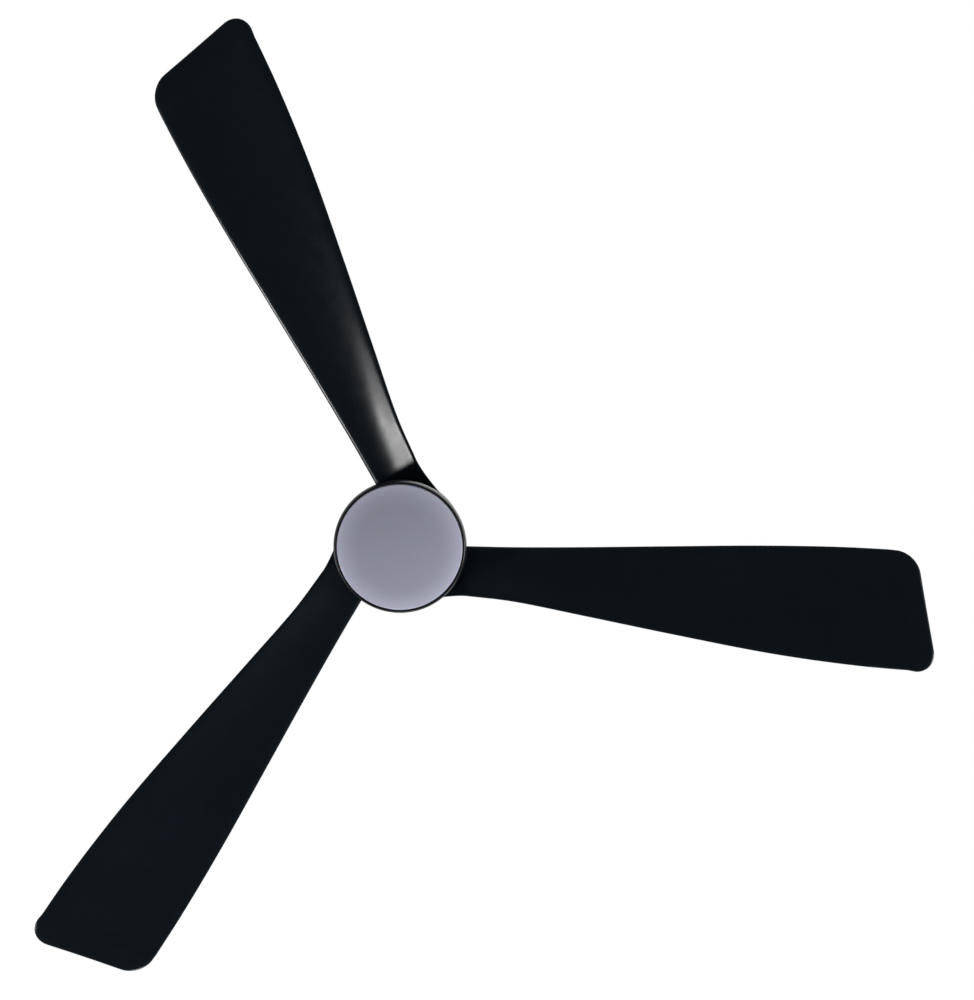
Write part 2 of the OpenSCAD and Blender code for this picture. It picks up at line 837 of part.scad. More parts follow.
module led_standoffs() {
  color("gold")
    hub()
      ring_of(3, standoff_at, 90) {
        translate([0, 0, led_plate_level + led_plate_t + fit])
          difference() {
            cylinder(r = standoff_r, h = bracket_level - led_plate_level - led_plate_t - 2 * fit, $fn = 6);
            translate([0, 0, -cut]) cylinder(r = m3[0] + fit, h = 9, $fn = screw_fn);
          }
        translate([0, 0, bracket_level - 2]) cylinder(r = m3[0], h = 5.5, $fn = screw_fn);
      }
}

module led_plate() {
  color("gainsboro")
    hub()
      difference() {
        translate([0, 0, led_plate_level]) cylinder(r = bezel_flange_r + 8, h = led_plate_t);
        ring_of(3, standoff_at, 90)
          translate([0, 0, led_plate_level - cut]) cylinder(r = m3[0] + fit, h = 5, $fn = screw_fn);
        ring_of(3, bezel_post_at, 0)
          translate([0, 0, led_plate_level - cut]) cylinder(r = m3[0] + fit, h = 5, $fn = screw_fn);
        translate([0, driver_y, led_plate_level - cut]) cylinder(r = 6, h = 5, $fn = 48);
      }
}

module led_board() {
  color("white")
    hub()
      difference() {
        pipe(led_board_r, led_board_in_r, led_plate_level - led_board_t - fit, led_plate_level - fit);
        ring_of(3, standoff_at, 90)
          translate([0, 0, led_plate_level - 4]) cylinder(r = m3[0] + fit, h = 5, $fn = screw_fn);
      }
}

module led_chips() {
  chip = [3.5, 2.8, 0.8];
  color("khaki")
    hub()
      for (ring = [0, 1])
        ring_of(chip_counts[ring], chip_rings[ring], 9)
          translate([-chip[0] / 2, -chip[1] / 2, led_plate_level - led_board_t - 2 * fit - chip[2]]) cube(chip);
}

module led_plate_screws() {
  color("silver")
    hub()
      ring_of(3, standoff_at, 90)
        translate([0, 0, led_plate_level - led_board_t - 2 * fit]) mirror([0, 0, 1]) screw(m3, 10.5);
}

// The bezel's outside, from its lower lip out to its widest
function bezel_curve() = [
  for (i = [0 : 9])
    [bezel_bore_r + bezel_lip + (bezel_r - bezel_bore_r - bezel_lip) * sin(i * 10), (bezel_h - 1) * (1 - cos(i * 10))]
];

module bezel() {
  groove_r = diffuser_r + lug_reach + loose;
  groove_in_r = bezel_bore_r - cut;
  groove_h = lug_t + 2 * loose;
  color("#0e1116")
    hub()
      difference() {
        union() {
          rotate_extrude()
            polygon(concat([[bezel_bore_r, 0]], bezel_curve(), [
              [bezel_r - 0.3, bezel_h], [housing_foot_r - cover_wall - 2 * loose, bezel_h],
              [housing_foot_r - cover_wall - 2 * loose, bezel_h + 5], [bezel_bore_r, bezel_h + 5],
              [bezel_bore_r, bezel_h], [bezel_flange_r, bezel_h], [bezel_flange_r, diffuser_skirt + 0.4],
              [bezel_bore_r, diffuser_skirt + 0.4]
            ]));
          ring_of(3, bezel_post_at, 0)
            translate([0, 0, bezel_h - cut])
              cylinder(r = bezel_post_r, h = led_plate_level - bezel_h + cut - fit, $fn = 48);
        }
        ring_of(3, bezel_post_at, 0)
          translate([0, 0, diffuser_skirt]) cylinder(r = m3[0] + fit, h = led_plate_level, $fn = screw_fn);
        for (i = [0 : 2])
          rotate([0, 0, i * 120 + 60 - lug_w / 2 - 1]) {
            translate([0, 0, lug_level - loose])
              rotate_extrude(angle = lug_w + twist_angle + 2)
                translate([groove_in_r, 0]) square([groove_r - groove_in_r, groove_h]);
            rotate([0, 0, twist_angle + 0.5])
              translate([0, 0, -cut])
                rotate_extrude(angle = lug_w + 1)
                  translate([groove_in_r + 0.2, 0]) square([groove_r - groove_in_r - 0.3, lug_level + 2 * cut]);
          }
      }
}

module bezel_screws() {
  color("silver")
    hub()
      ring_of(3, bezel_post_at, 0)
        translate([0, 0, diffuser_skirt + 0.4 - fit]) mirror([0, 0, 1]) screw(m3, 14.5);
}

module diffuser() {
  dome_r = (diffuser_r * diffuser_r + diffuser_dome * diffuser_dome) / (2 * diffuser_dome);
  color("#b9b9c6")
    hub() {
      difference() {
        union() {
          cylinder(r = diffuser_r, h = diffuser_skirt);
          intersection() {
            translate([0, 0, dome_r - diffuser_dome]) sphere(r = dome_r, $fn = 200);
            translate([0, 0, -2 * diffuser_dome]) cylinder(r = diffuser_r, h = 2 * diffuser_dome + cut);
          }
        }
        intersection() {
          translate([0, 0, dome_r - diffuser_dome]) sphere(r = dome_r - diffuser_wall, $fn = 200);
          translate([0, 0, -2 * diffuser_dome])
            cylinder(r = diffuser_r - diffuser_wall, h = 2 * diffuser_dome + diffuser_skirt + cut);
        }
      }
      for (i = [0 : 2])
        rotate([0, 0, i * 120 + 60 - lug_w / 2])
          translate([0, 0, lug_level])
            rotate_extrude(angle = lug_w)
              translate([diffuser_r - cut, 0]) square([lug_reach + cut, lug_t]);
    }
}

module rotor_lower_shell() {
  boss_r = bearing_d / 2 + 3.5;
  color("gray")
    hub()
      difference() {
        rotate_extrude()
          polygon([
            [outer_ring_r + 0.8, rotor_bottom], [rotor_r - 2, rotor_bottom], [rotor_r, rotor_bottom + 2],
            [rotor_r, flange_level], [flange_r, flange_level], [flange_r, flange_level + flange_t],
            [rotor_r, flange_level + flange_t], [rotor_r, lid_level - 3], [rim_r, lid_level - 3],
            [rim_r, lid_level], [rotor_in_r, lid_level], [rotor_in_r, rotor_bottom + 3],
            [boss_r, rotor_bottom + 3], [boss_r, carrier_level], [bearing_d / 2 + fit / 5, carrier_level],
            [bearing_d / 2 + fit / 5, lower_bearing_level], [outer_ring_r + 0.8, lower_bearing_level]
          ]);
        ring_of(6, rim_screw_r, 20)
          translate([0, 0, lid_level - 4]) cylinder(r = m3[0] + fit, h = 5, $fn = screw_fn);
        blade_screw_places()
          translate([0, 0, flange_level - cut]) cylinder(r = m4[0] + fit, h = flange_t + 2 * cut, $fn = screw_fn);
      }
}

module rotor_upper_shell() {
  boss_r = bearing_d / 2 + 3.5;
  bearing_top = upper_bearing_level + bearing_w;
  color("gray")
    hub()
      difference() {
        rotate_extrude()
          polygon([
            [bearing_d / 2 + fit / 5, upper_bearing_level], [boss_r, upper_bearing_level],
            [boss_r, lid_level + fit], [rim_r, lid_level + fit], [rim_r, lid_level + lid_t],
            [boss_r, lid_level + lid_t], [boss_r, bearing_top + 1.5], [outer_ring_r + 0.8, bearing_top + 1.5],
            [outer_ring_r + 0.8, bearing_top], [bearing_d / 2 + fit / 5, bearing_top]
          ]);
        ring_of(6, rim_screw_r, 20)
          translate([0, 0, lid_level - cut]) cylinder(r = m3[0] + fit, h = 6, $fn = screw_fn);
        ring_of(6, 36, 0)
          translate([0, 0, lid_level - cut]) cylinder(r = 6, h = 6, $fn = 48);
      }
}

module rotor_screws() {
  color("silver")
    hub()
      ring_of(6, rim_screw_r, 20) translate([0, 0, lid_level + lid_t + fit]) screw(m3, 6);
}

module rotor_magnets() {
  slice = 360 / magnet_count;
  color("#3a3d42")
    hub()
      for (i = [0 : magnet_count - 1])
        rotate([0, 0, (i + 0.04) * slice])
          translate([0, 0, stator_mid - magnet_h / 2])
            rotate_extrude(angle = slice * 0.92) translate([magnet_r, 0]) square([magnet_t, magnet_h]);
}

// Value of one column of the blade table, on a smooth curve through its rows
function plan_slope(i, c) =
  let (a = max(i - 1, 0), b = min(i + 1, len(blade_plan) - 1))
  (blade_plan[b][c] - blade_plan[a][c]) / (blade_plan[b][0] - blade_plan[a][0]);
function plan_row(f) = max([for (i = [0 : len(blade_plan) - 2]) f >= blade_plan[i][0] ? i : 0]);
function hermite(p, q, dp, dq, t) =
  p * (2 * t ^ 3 - 3 * t ^ 2 + 1) + dp * (t ^ 3 - 2 * t ^ 2 + t) + q * (3 * t ^ 2 - 2 * t ^ 3) + dq * (t ^ 3 - t ^ 2);
function plan(f, c) =
  let (i = plan_row(f), run = blade_plan[i + 1][0] - blade_plan[i][0], t = (f - blade_plan[i][0]) / run)
  hermite(blade_plan[i][c], blade_plan[i + 1][c], plan_slope(i, c) * run, plan_slope(i + 1, c) * run, t);

// Where the straight part of the blade starts and its edges end
start_x = collar_r + root_out;
function lead_point(f) = [start_x + f * (tip_reach - tip_rake - start_x), plan(f, 1), plan(f, 3)];
function trail_point(f) = [start_x + f * (tip_reach - start_x), plan(f, 2), plan(f, 4)];
function on_collar(angle, high) = [root_r * cos(angle), root_r * sin(angle), high];

// A ring of the blade: leading point, trailing point, how much it bows out to the collar, bow, thickness, and the
// share of the full chord that is cut off at each end
function root_ring(t) =
  let (
    lead = lead_point(0),
    trail = trail_point(0),
    lead_root = on_collar(lead_angle, lead[2] + 0.3),
    trail_root = on_collar(trail_angle, trail[2] + 0.7),
    length = norm(trail - trail_root),
    along_collar = length * [sin(trail_angle), -cos(trail_angle), 0]
  )
  [
    lead_root + (lead - lead_root) * t,
    hermite(trail_root, trail, along_collar, [length, 0, 0], t),
    (1 - t) ^ 2, root_bow, root_thickness, 0
  ];
function main_ring(f) =
  [lead_point(f), trail_point(f), 0, root_bow + f * (tip_bow - root_bow),
   root_thickness + f * (tip_thickness - root_thickness), 0];
function tip_ring(angle) =
  let (
    from_end = tip_corner_r * (1 - cos(angle)),
    pulled_in = tip_corner_r * (1 - sin(angle)),
    lead = lead_point(1),
    trail = trail_point(1),
    share = pulled_in / (trail[1] - lead[1]),
    edge = min(1, from_end / (tip_thickness / 2)),
    round_edge = max(0.16, sqrt(1 - (1 - edge) ^ 2)),
    back = [from_end, 0, 0]
  )
  [lead + (trail - lead) * share - back, trail + (lead - trail) * share - back, 0, tip_bow,
   tip_thickness * round_edge, share];

straight_end = 1 - tip_corner_r / (tip_reach - start_x);
blade_rings = concat(
  [for (i = [0 : root_rings - 1]) root_ring(i / root_rings)],
  [for (i = [0 : main_rings - 1]) main_ring(straight_end * i / main_rings)],
  [for (i = [0 : tip_rings]) tip_ring(90 - i * 90 / tip_rings)]
);

// Half thickness along the chord: full in the middle, with round edges
function edge_shape(s) = sqrt(1 - abs(2 * s - 1) ^ 10);
function ring_point(ring, k) =
  let (
    s = (1 - cos(180 * (k <= ring_steps ? k : 2 * ring_steps - k) / ring_steps)) / 2,
    top = k > ring_steps ? 1 : -1,
    chord = ring[0] + (ring[1] - ring[0]) * s,
    angle = lead_angle + (trail_angle - lead_angle) * s,
    lead = on_collar(lead_angle, 0),
    trail = on_collar(trail_angle, 0),
    bulge = on_collar(angle, 0) - lead - (trail - lead) * s,
    on_chord = ring[5] + s * (1 - 2 * ring[5]),
    up = ring[3] * 4 * on_chord * (1 - on_chord) + top * ring[4] / 2 * edge_shape(s)
  )
  chord + bulge * ring[2] + [0, 0, up];

module blade_shell() {
  round = 2 * ring_steps;
  last = len(blade_rings) - 1;
  points = [for (ring = blade_rings) for (k = [0 : round - 1]) ring_point(ring, k)];
  sides = [
    for (i = [0 : last - 1])
      for (k = [0 : round - 1])
        let (a = i * round + k, b = i * round + (k + 1) % round)
          for (face = [[a, a + round, b], [b, a + round, b + round]]) face
  ];
  caps = [
    for (end = [0, 1])
      for (k = [0 : ring_steps - 1])
        let (
          base = end * last * round,
          low = base + k,
          low_next = base + k + 1,
          high = base + (round - k) % round,
          high_next = base + round - k - 1
        )
          for (face = k == 0 ? [[low, high_next, low_next]]
                   : k == ring_steps - 1 ? [[low, high, low_next]]
                   : [[low, high, low_next], [low_next, high, high_next]])
            end == 1 ? face : [face[2], face[1], face[0]]
  ];
  polyhedron(points, concat(sides, caps), convexity = 6);
}

module blade_screw_places() {
  for (i = [0 : blade_count - 1])
    for (place = [-8, 38, 84])
      rotate([0, 0, i * 360 / blade_count + place]) translate([blade_screw_r, 0, 0]) children();
}

// One blade with its third of the collar and the flange that is screwed to the rotor
module blade(index) {
  lean = (collar_r - collar_top_r) / collar_h;
  web_low = flange_level + flange_t + fit;
  web_high = web_low + web_t;
  color("#14171c")
    hub()
      difference() {
        rotate([0, 0, index * 360 / blade_count]) {
          rotate([0, 0, -collar_lead + seam / 2])
            rotate_extrude(angle = 360 / blade_count - seam)
              polygon([
                [collar_r, collar_level], [collar_top_r, collar_level + collar_h],
                [collar_top_r - collar_wall, collar_level + collar_h],
                [collar_r - (web_high - collar_level) * lean - collar_wall, web_high], [web_in_r, web_high],
                [web_in_r, web_low], [collar_r - (web_low - collar_level) * lean - collar_wall, web_low],
                [collar_r - collar_wall, collar_level]
              ]);
          blade_shell();
        }
        blade_screw_places()
          translate([0, 0, flange_level]) cylinder(r = m4[0] + fit, h = 3 * web_t, $fn = screw_fn);
      }
}

module blade_screws() {
  color("silver")
    hub()
      blade_screw_places()
        translate([0, 0, flange_level + flange_t + web_t + 2 * fit]) screw(m4, 11);
}

// The coupling cover's outline, from its foot up to its neck
function cover_outline(foot, neck, low, high) = [
  for (i = [0 : 10])
    let (t = i / 10) [foot + (neck - foot) * cover_narrowing(t), low + (high - low) * t]
];

module coupling_cover() {
  high = cover_low + cover_h;
  outer = cover_outline(cover_foot_d / 2, neck_r, cover_low, high);
  inner = cover_outline(cover_in_r, neck_r - cover_sheet, cover_low, high - cover_sheet);
  color("#14171c")
    hub()
      rotate_extrude()
        polygon(concat(outer, [[cover_hole_r, high], [cover_hole_r, high - cover_sheet]],
                       [for (i = [10 : -1 : 0]) inner[i]]));
}

module cover_grommet() {
  top = cover_low + cover_h;
  color("#1c1e22")
    hub() {
      pipe(cover_hole_r - fit, rod_r + 0.1, top - 2.6, top + 0.8);
      pipe(cover_hole_r + 1, cover_hole_r - 2 * fit, top + fit, top + 0.8);
    }
}

hanger_bracket();
canopy();
canopy_screws();
receiver();
terminal_block();
bracket_leads();
earth_screw();
hanger_ball();
ball_pin();
ball_set_screw();
downrod();
coupling();
clevis_pin();
r_clip();
coupling_set_screws();
shaft_set_screws();
motor_shaft();
stator_carrier();
stator_core();
stator_insulators();
stator_windings();
bearing_inner_ring(upper_bearing_level);  // upper_bearing_inner_ring
bearing_inner_ring(lower_bearing_level);  // lower_bearing_inner_ring
motor_cover();
motor_cover_screws();
motor_leads();
light_leads();
lead_plug();
light_bracket();
shaft_nut();
light_housing();
housing_screws();
led_driver();
led_leads();
led_standoffs();
led_plate();
led_board();
led_chips();
led_plate_screws();
bezel();
bezel_screws();
rotor_lower_shell();
rotor_upper_shell();
rotor_screws();
rotor_magnets();
bearing_outer_ring(upper_bearing_level);  // upper_bearing_outer_ring
bearing_outer_ring(lower_bearing_level);  // lower_bearing_outer_ring
bearing_balls(upper_bearing_level);  // upper_bearing_balls
bearing_cage(upper_bearing_level);  // upper_bearing_cage
bearing_balls(lower_bearing_level);  // lower_bearing_balls
bearing_cage(lower_bearing_level);  // lower_bearing_cage
blade(0);  // blade_1
blade(1);  // blade_2
blade(2);  // blade_3
blade_screws();
coupling_cover();
cover_grommet();
diffuser();
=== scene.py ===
"""A ceiling fan with a light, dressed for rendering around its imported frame.

The fan hangs from a ball inside a canopy on the ceiling. A short rod carries a motor in a round hub, three
moulded blades turn with the motor, and an opal light closes the hub from below. Each sub-assembly is a class
that builds its own pieces and dresses them, and each finish is a small class that makes one material.
Heights in the hub are given upwards from the light's rim, and everything is in metres.
"""
import json
import logging
import math
from dataclasses import dataclass
from enum import Enum
from typing import ClassVar

import bmesh
import bpy
from mathutils import Matrix, Vector


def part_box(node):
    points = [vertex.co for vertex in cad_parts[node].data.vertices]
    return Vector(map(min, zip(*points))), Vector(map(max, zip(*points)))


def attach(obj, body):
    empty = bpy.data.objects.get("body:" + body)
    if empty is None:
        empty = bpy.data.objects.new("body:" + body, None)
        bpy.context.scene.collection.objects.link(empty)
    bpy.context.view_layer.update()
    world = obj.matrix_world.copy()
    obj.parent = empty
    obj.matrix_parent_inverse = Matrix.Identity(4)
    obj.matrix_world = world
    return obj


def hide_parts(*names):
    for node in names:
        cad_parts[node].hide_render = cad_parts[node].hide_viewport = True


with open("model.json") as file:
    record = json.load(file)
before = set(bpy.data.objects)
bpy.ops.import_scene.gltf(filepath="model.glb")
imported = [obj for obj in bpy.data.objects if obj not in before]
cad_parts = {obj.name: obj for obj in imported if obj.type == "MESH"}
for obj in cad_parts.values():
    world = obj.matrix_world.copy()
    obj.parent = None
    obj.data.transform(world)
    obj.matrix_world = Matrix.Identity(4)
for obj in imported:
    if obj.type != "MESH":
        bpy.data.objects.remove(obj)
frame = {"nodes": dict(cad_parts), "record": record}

log = logging.getLogger("ceiling_fan")

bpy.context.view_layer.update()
MM = 0.001
FULL_TURN = 2 * math.pi
RIM_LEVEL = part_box("bezel")[0].z
Colour = tuple[float, float, float]


class Body(Enum):
    """The moving bodies that new pieces ride on."""

    CEILING = "ceiling_mount"
    HANGING = "hanging_frame"
    ROTOR = "rotor"
    COVER = "service_cover"
    LENS = "diffuser_lens"


class Grain(Enum):
    """How a surface's fine texture runs."""

    EVEN = (1.0, 1.0, 1.0)
    TURNED = (1.0, 1.0, 14.0)
    DRAWN = (10.0, 10.0, 0.6)


# Materials


class Recipe:
    """The node tree of one material, with its shader and its output.

    Args:
        name: The material's name.
    """

    def __init__(self, name: str) -> None:
        """Makes an empty tree that holds a shader joined to the output."""
        self.material = bpy.data.materials.new(name)
        self.material.use_nodes = True
        self.tree = self.material.node_tree
        self.tree.nodes.clear()
        output = self.node("ShaderNodeOutputMaterial")
        self.shader = self.node("ShaderNodeBsdfPrincipled")
        self.link(self.shader.outputs["BSDF"], output.inputs["Surface"])

    def node(self, kind: str) -> bpy.types.Node:
        """Adds one node of a kind to the tree."""
        return self.tree.nodes.new(kind)

    def link(self, source: bpy.types.NodeSocket, target: bpy.types.NodeSocket) -> None:
        """Joins two sockets."""
        self.tree.links.new(source, target)

    def place(self, grain: Grain = Grain.EVEN) -> bpy.types.NodeSocket:
        """Reads the place on the object.

        Args:
            grain: How the texture that uses the place is stretched.

        Returns:
            The socket with the stretched place.
        """
        coordinates = self.node("ShaderNodeTexCoord")
        mapping = self.node("ShaderNodeMapping")
        mapping.inputs["Scale"].default_value = grain.value
        self.link(coordinates.outputs["Object"], mapping.inputs["Vector"])
        return mapping.outputs["Vector"]

    def noise(self, place: bpy.types.NodeSocket, scale: float, detail: float) -> bpy.types.NodeSocket:
        """Adds a cloudy pattern.

        Args:
            place: Socket with the place on the object.
            scale: Number of clouds in a metre.
            detail: How many finer layers lie in the clouds.

        Returns:
            The socket with the pattern, from 0 to 1.
        """
        clouds = self.node("ShaderNodeTexNoise")
        clouds.inputs["Scale"].default_value = scale
        clouds.inputs["Detail"].default_value = detail
        self.link(place, clouds.inputs["Vector"])
        return clouds.outputs["Fac"]

    def spread(self, value: bpy.types.NodeSocket, low: float, high: float) -> bpy.types.NodeSocket:
        """Stretches a pattern's middle range.

        Args:
            value: Socket with the pattern.
            low: What the dark clouds become.
            high: What the light clouds become.

        Returns:
            The socket with the stretched pattern.
        """
        ranged = self.node("ShaderNodeMapRange")
        ranged.inputs["From Min"].default_value = 0.3
        ranged.inputs["From Max"].default_value = 0.7
        ranged.inputs["To Min"].default_value = low
        ranged.inputs["To Max"].default_value = high
        self.link(value, ranged.inputs["Value"])
        return ranged.outputs["Result"]

    def tint(self, value: bpy.types.NodeSocket, dark: Colour, light: Colour) -> None:
        """Colours the surface between two shades by a pattern.

        Args:
            value: Socket with the pattern.
            dark: Colour where the pattern is 0.
            light: Colour where the pattern is 1.
        """
        mix = self.node("ShaderNodeMix")
        mix.data_type = "RGBA"
        mix.inputs["A"].default_value = (*dark, 1.0)
        mix.inputs["B"].default_value = (*light, 1.0)
        self.link(value, mix.inputs["Factor"])
        self.link(mix.outputs["Result"], self.shader.inputs["Base Color"])

    def rough(self, value: bpy.types.NodeSocket, low: float, high: float) -> None:
        """Varies the roughness between two values by a pattern."""
        self.link(self.spread(value, low, high), self.shader.inputs["Roughness"])

    def relief(self, value: bpy.types.NodeSocket, height: float) -> None:
        """Raises the surface by a pattern.

        Args:
            value: Socket with the pattern.
            height: How high the surface rises, in metres.
        """
        bump = self.node("ShaderNodeBump")
        bump.inputs["Strength"].default_value = 1.0
        bump.inputs["Distance"].default_value = height
        self.link(value, bump.inputs["Height"])
        self.link(bump.outputs["Normal"], self.shader.inputs["Normal"])


def shade(colour: Colour, factor: float) -> Colour:
    """A lighter or darker shade of a colour."""
    return tuple(min(1.0, channel * factor) for channel in colour)


@dataclass(frozen=True)
class MouldedPlastic:
    """Moulded plastic with a fine spark-eroded texture.

    Attributes:
        colour: Middle colour.
        gloss: Lowest and highest roughness.
        shine: Level of the mirror-like part of its look.
        texture: Height of the fine texture.
        grain: Number of texture grains in a metre.
        mottle: How much lighter and darker its colour gets.
    """

    colour: Colour
    gloss: tuple[float, float] = (0.38, 0.46)
    shine: float = 0.4
    texture: float = 0.012 * MM
    grain: float = 2400.0
    mottle: float = 0.12

    def make(self, name: str) -> bpy.types.Material:
        """Makes the material."""
        recipe = Recipe(name)
        place = recipe.place()
        clouds = recipe.noise(place, 9.0, 4.0)
        recipe.shader.inputs["Specular IOR Level"].default_value = self.shine
        recipe.tint(recipe.spread(clouds, 0.0, 1.0), shade(self.colour, 1 - self.mottle),
                    shade(self.colour, 1 + self.mottle))
        recipe.rough(recipe.noise(place, 60.0, 3.0), *self.gloss)
        recipe.relief(recipe.noise(place, self.grain, 2.0), self.texture)
        return recipe.material


@dataclass(frozen=True)
class PaintedMetal:
    """Powder-coated metal with a slight orange peel.

    Attributes:
        colour: Middle colour.
        gloss: Lowest and highest roughness.
        shine: Level of the mirror-like part of its look.
        peel: Height of the orange peel.
    """

    colour: Colour
    gloss: tuple[float, float] = (0.3, 0.38)
    shine: float = 0.45
    peel: float = 0.03 * MM

    def make(self, name: str) -> bpy.types.Material:
        """Makes the material."""
        recipe = Recipe(name)
        place = recipe.place()
        recipe.shader.inputs["Specular IOR Level"].default_value = self.shine
        recipe.tint(recipe.noise(place, 14.0, 3.0), shade(self.colour, 0.85), shade(self.colour, 1.15))
        recipe.rough(recipe.noise(place, 90.0, 2.0), *self.gloss)
        recipe.relief(recipe.noise(place, 700.0, 1.0), self.peel)
        return recipe.material


@dataclass(frozen=True)
class OpalPlastic:
    """Opal plastic that spreads light, with the lamp behind it switched off.

    Attributes:
        colour: Colour of the unlit plastic.
        depth: How far light travels inside it.
        through: Share of its look that comes from light inside it.
        rim: Distance from the axis at which the painted highlight starts to pale the colour, where it does so in
            full, and how much.
    """

    colour: Colour
    depth: float = 3.0 * MM
    through: float = 0.25
    rim: tuple[float, float, float] = (45.0 * MM, 76.5 * MM, 1.5)

    def make(self, name: str) -> bpy.types.Material:
        """Makes the material."""
        recipe = Recipe(name)
        place = recipe.place()
        inputs = recipe.shader.inputs
        inputs["Specular IOR Level"].default_value = 0.5
        inputs["Subsurface Weight"].default_value = self.through
        inputs["Subsurface Scale"].default_value = self.depth
        # Painted highlight: the colour is made paler towards the rim.
        recipe.tint(self.painted_rim_highlight(recipe), self.colour, shade(self.colour, self.rim[2]))
        recipe.rough(recipe.noise(place, 40.0, 2.0), 0.3, 0.38)
        recipe.relief(recipe.noise(place, 1800.0, 1.0), 0.004 * MM)
        return recipe.material

    def painted_rim_highlight(self, recipe: Recipe) -> bpy.types.NodeSocket:
        """A painted highlight: the colour grows paler towards the rim, standing in for the light that the
        rounded rim catches.

        Args:
            recipe: The material's recipe.

        Returns:
            The socket with the painted highlight's strength, from 0 in the middle to 1 at the rim.
        """
        flat = recipe.node("ShaderNodeVectorMath")
        flat.operation = "MULTIPLY"
        flat.inputs[1].default_value = (1.0, 1.0, 0.0)
        recipe.link(recipe.place(), flat.inputs[0])
        away = recipe.node("ShaderNodeVectorMath")
        away.operation = "LENGTH"
        recipe.link(flat.outputs["Vector"], away.inputs[0])
        grown = recipe.node("ShaderNodeMapRange")
        grown.inputs["From Min"].default_value = self.rim[0]
        grown.inputs["From Max"].default_value = self.rim[1]
        recipe.link(away.outputs["Value"], grown.inputs["Value"])
        bend = recipe.node("ShaderNodeMath")
        bend.operation = "POWER"
        bend.inputs[1].default_value = 2.0
        recipe.link(grown.outputs["Result"], bend.inputs[0])
        return bend.outputs["Value"]


@dataclass(frozen=True)
class BareMetal:
    """Metal with turning, drawing or grinding marks.

    Attributes:
        colour: Middle colour.
        gloss: Lowest and highest roughness.
        grain: How its marks run.
        marks: Number of marks in a metre.
        depth: Height of the marks.
    """

    colour: Colour
    gloss: tuple[float, float] = (0.22, 0.38)
    grain: Grain = Grain.TURNED
    marks: float = 420.0
    depth: float = 0.01 * MM

    def make(self, name: str) -> bpy.types.Material:
        """Makes the material."""
        recipe = Recipe(name)
        scratches = recipe.noise(recipe.place(self.grain), self.marks, 3.0)
        recipe.shader.inputs["Metallic"].default_value = 1.0
        clouds = recipe.noise(recipe.place(), 30.0, 4.0)
        recipe.tint(clouds, shade(self.colour, 0.8), shade(self.colour, 1.15))
        recipe.rough(scratches, *self.gloss)
        recipe.relief(scratches, self.depth)
        return recipe.material


@dataclass(frozen=True)
class BandedMetal:
    """Metal in thin layers or turns, such as stacked sheets or wound wire.

    Attributes:
        colour: Colour of a layer.
        gap: Colour between the layers.
        layers: Number of layers in a metre.
        along: Direction that the layers are stacked in.
        rough: Roughness.
    """

    colour: Colour
    gap: Colour
    layers: float
    along: str
    rough: float

    def make(self, name: str) -> bpy.types.Material:
        """Makes the material."""
        recipe = Recipe(name)
        bands = recipe.node("ShaderNodeTexWave")
        bands.bands_direction = self.along
        bands.inputs["Scale"].default_value = self.layers / 3.2
        bands.inputs["Distortion"].default_value = 0.2
        recipe.link(recipe.place(), bands.inputs["Vector"])
        recipe.shader.inputs["Metallic"].default_value = 1.0
        recipe.shader.inputs["Roughness"].default_value = self.rough
        recipe.tint(bands.outputs["Fac"], self.gap, self.colour)
        recipe.relief(bands.outputs["Fac"], 0.08 * MM)
        return recipe.material


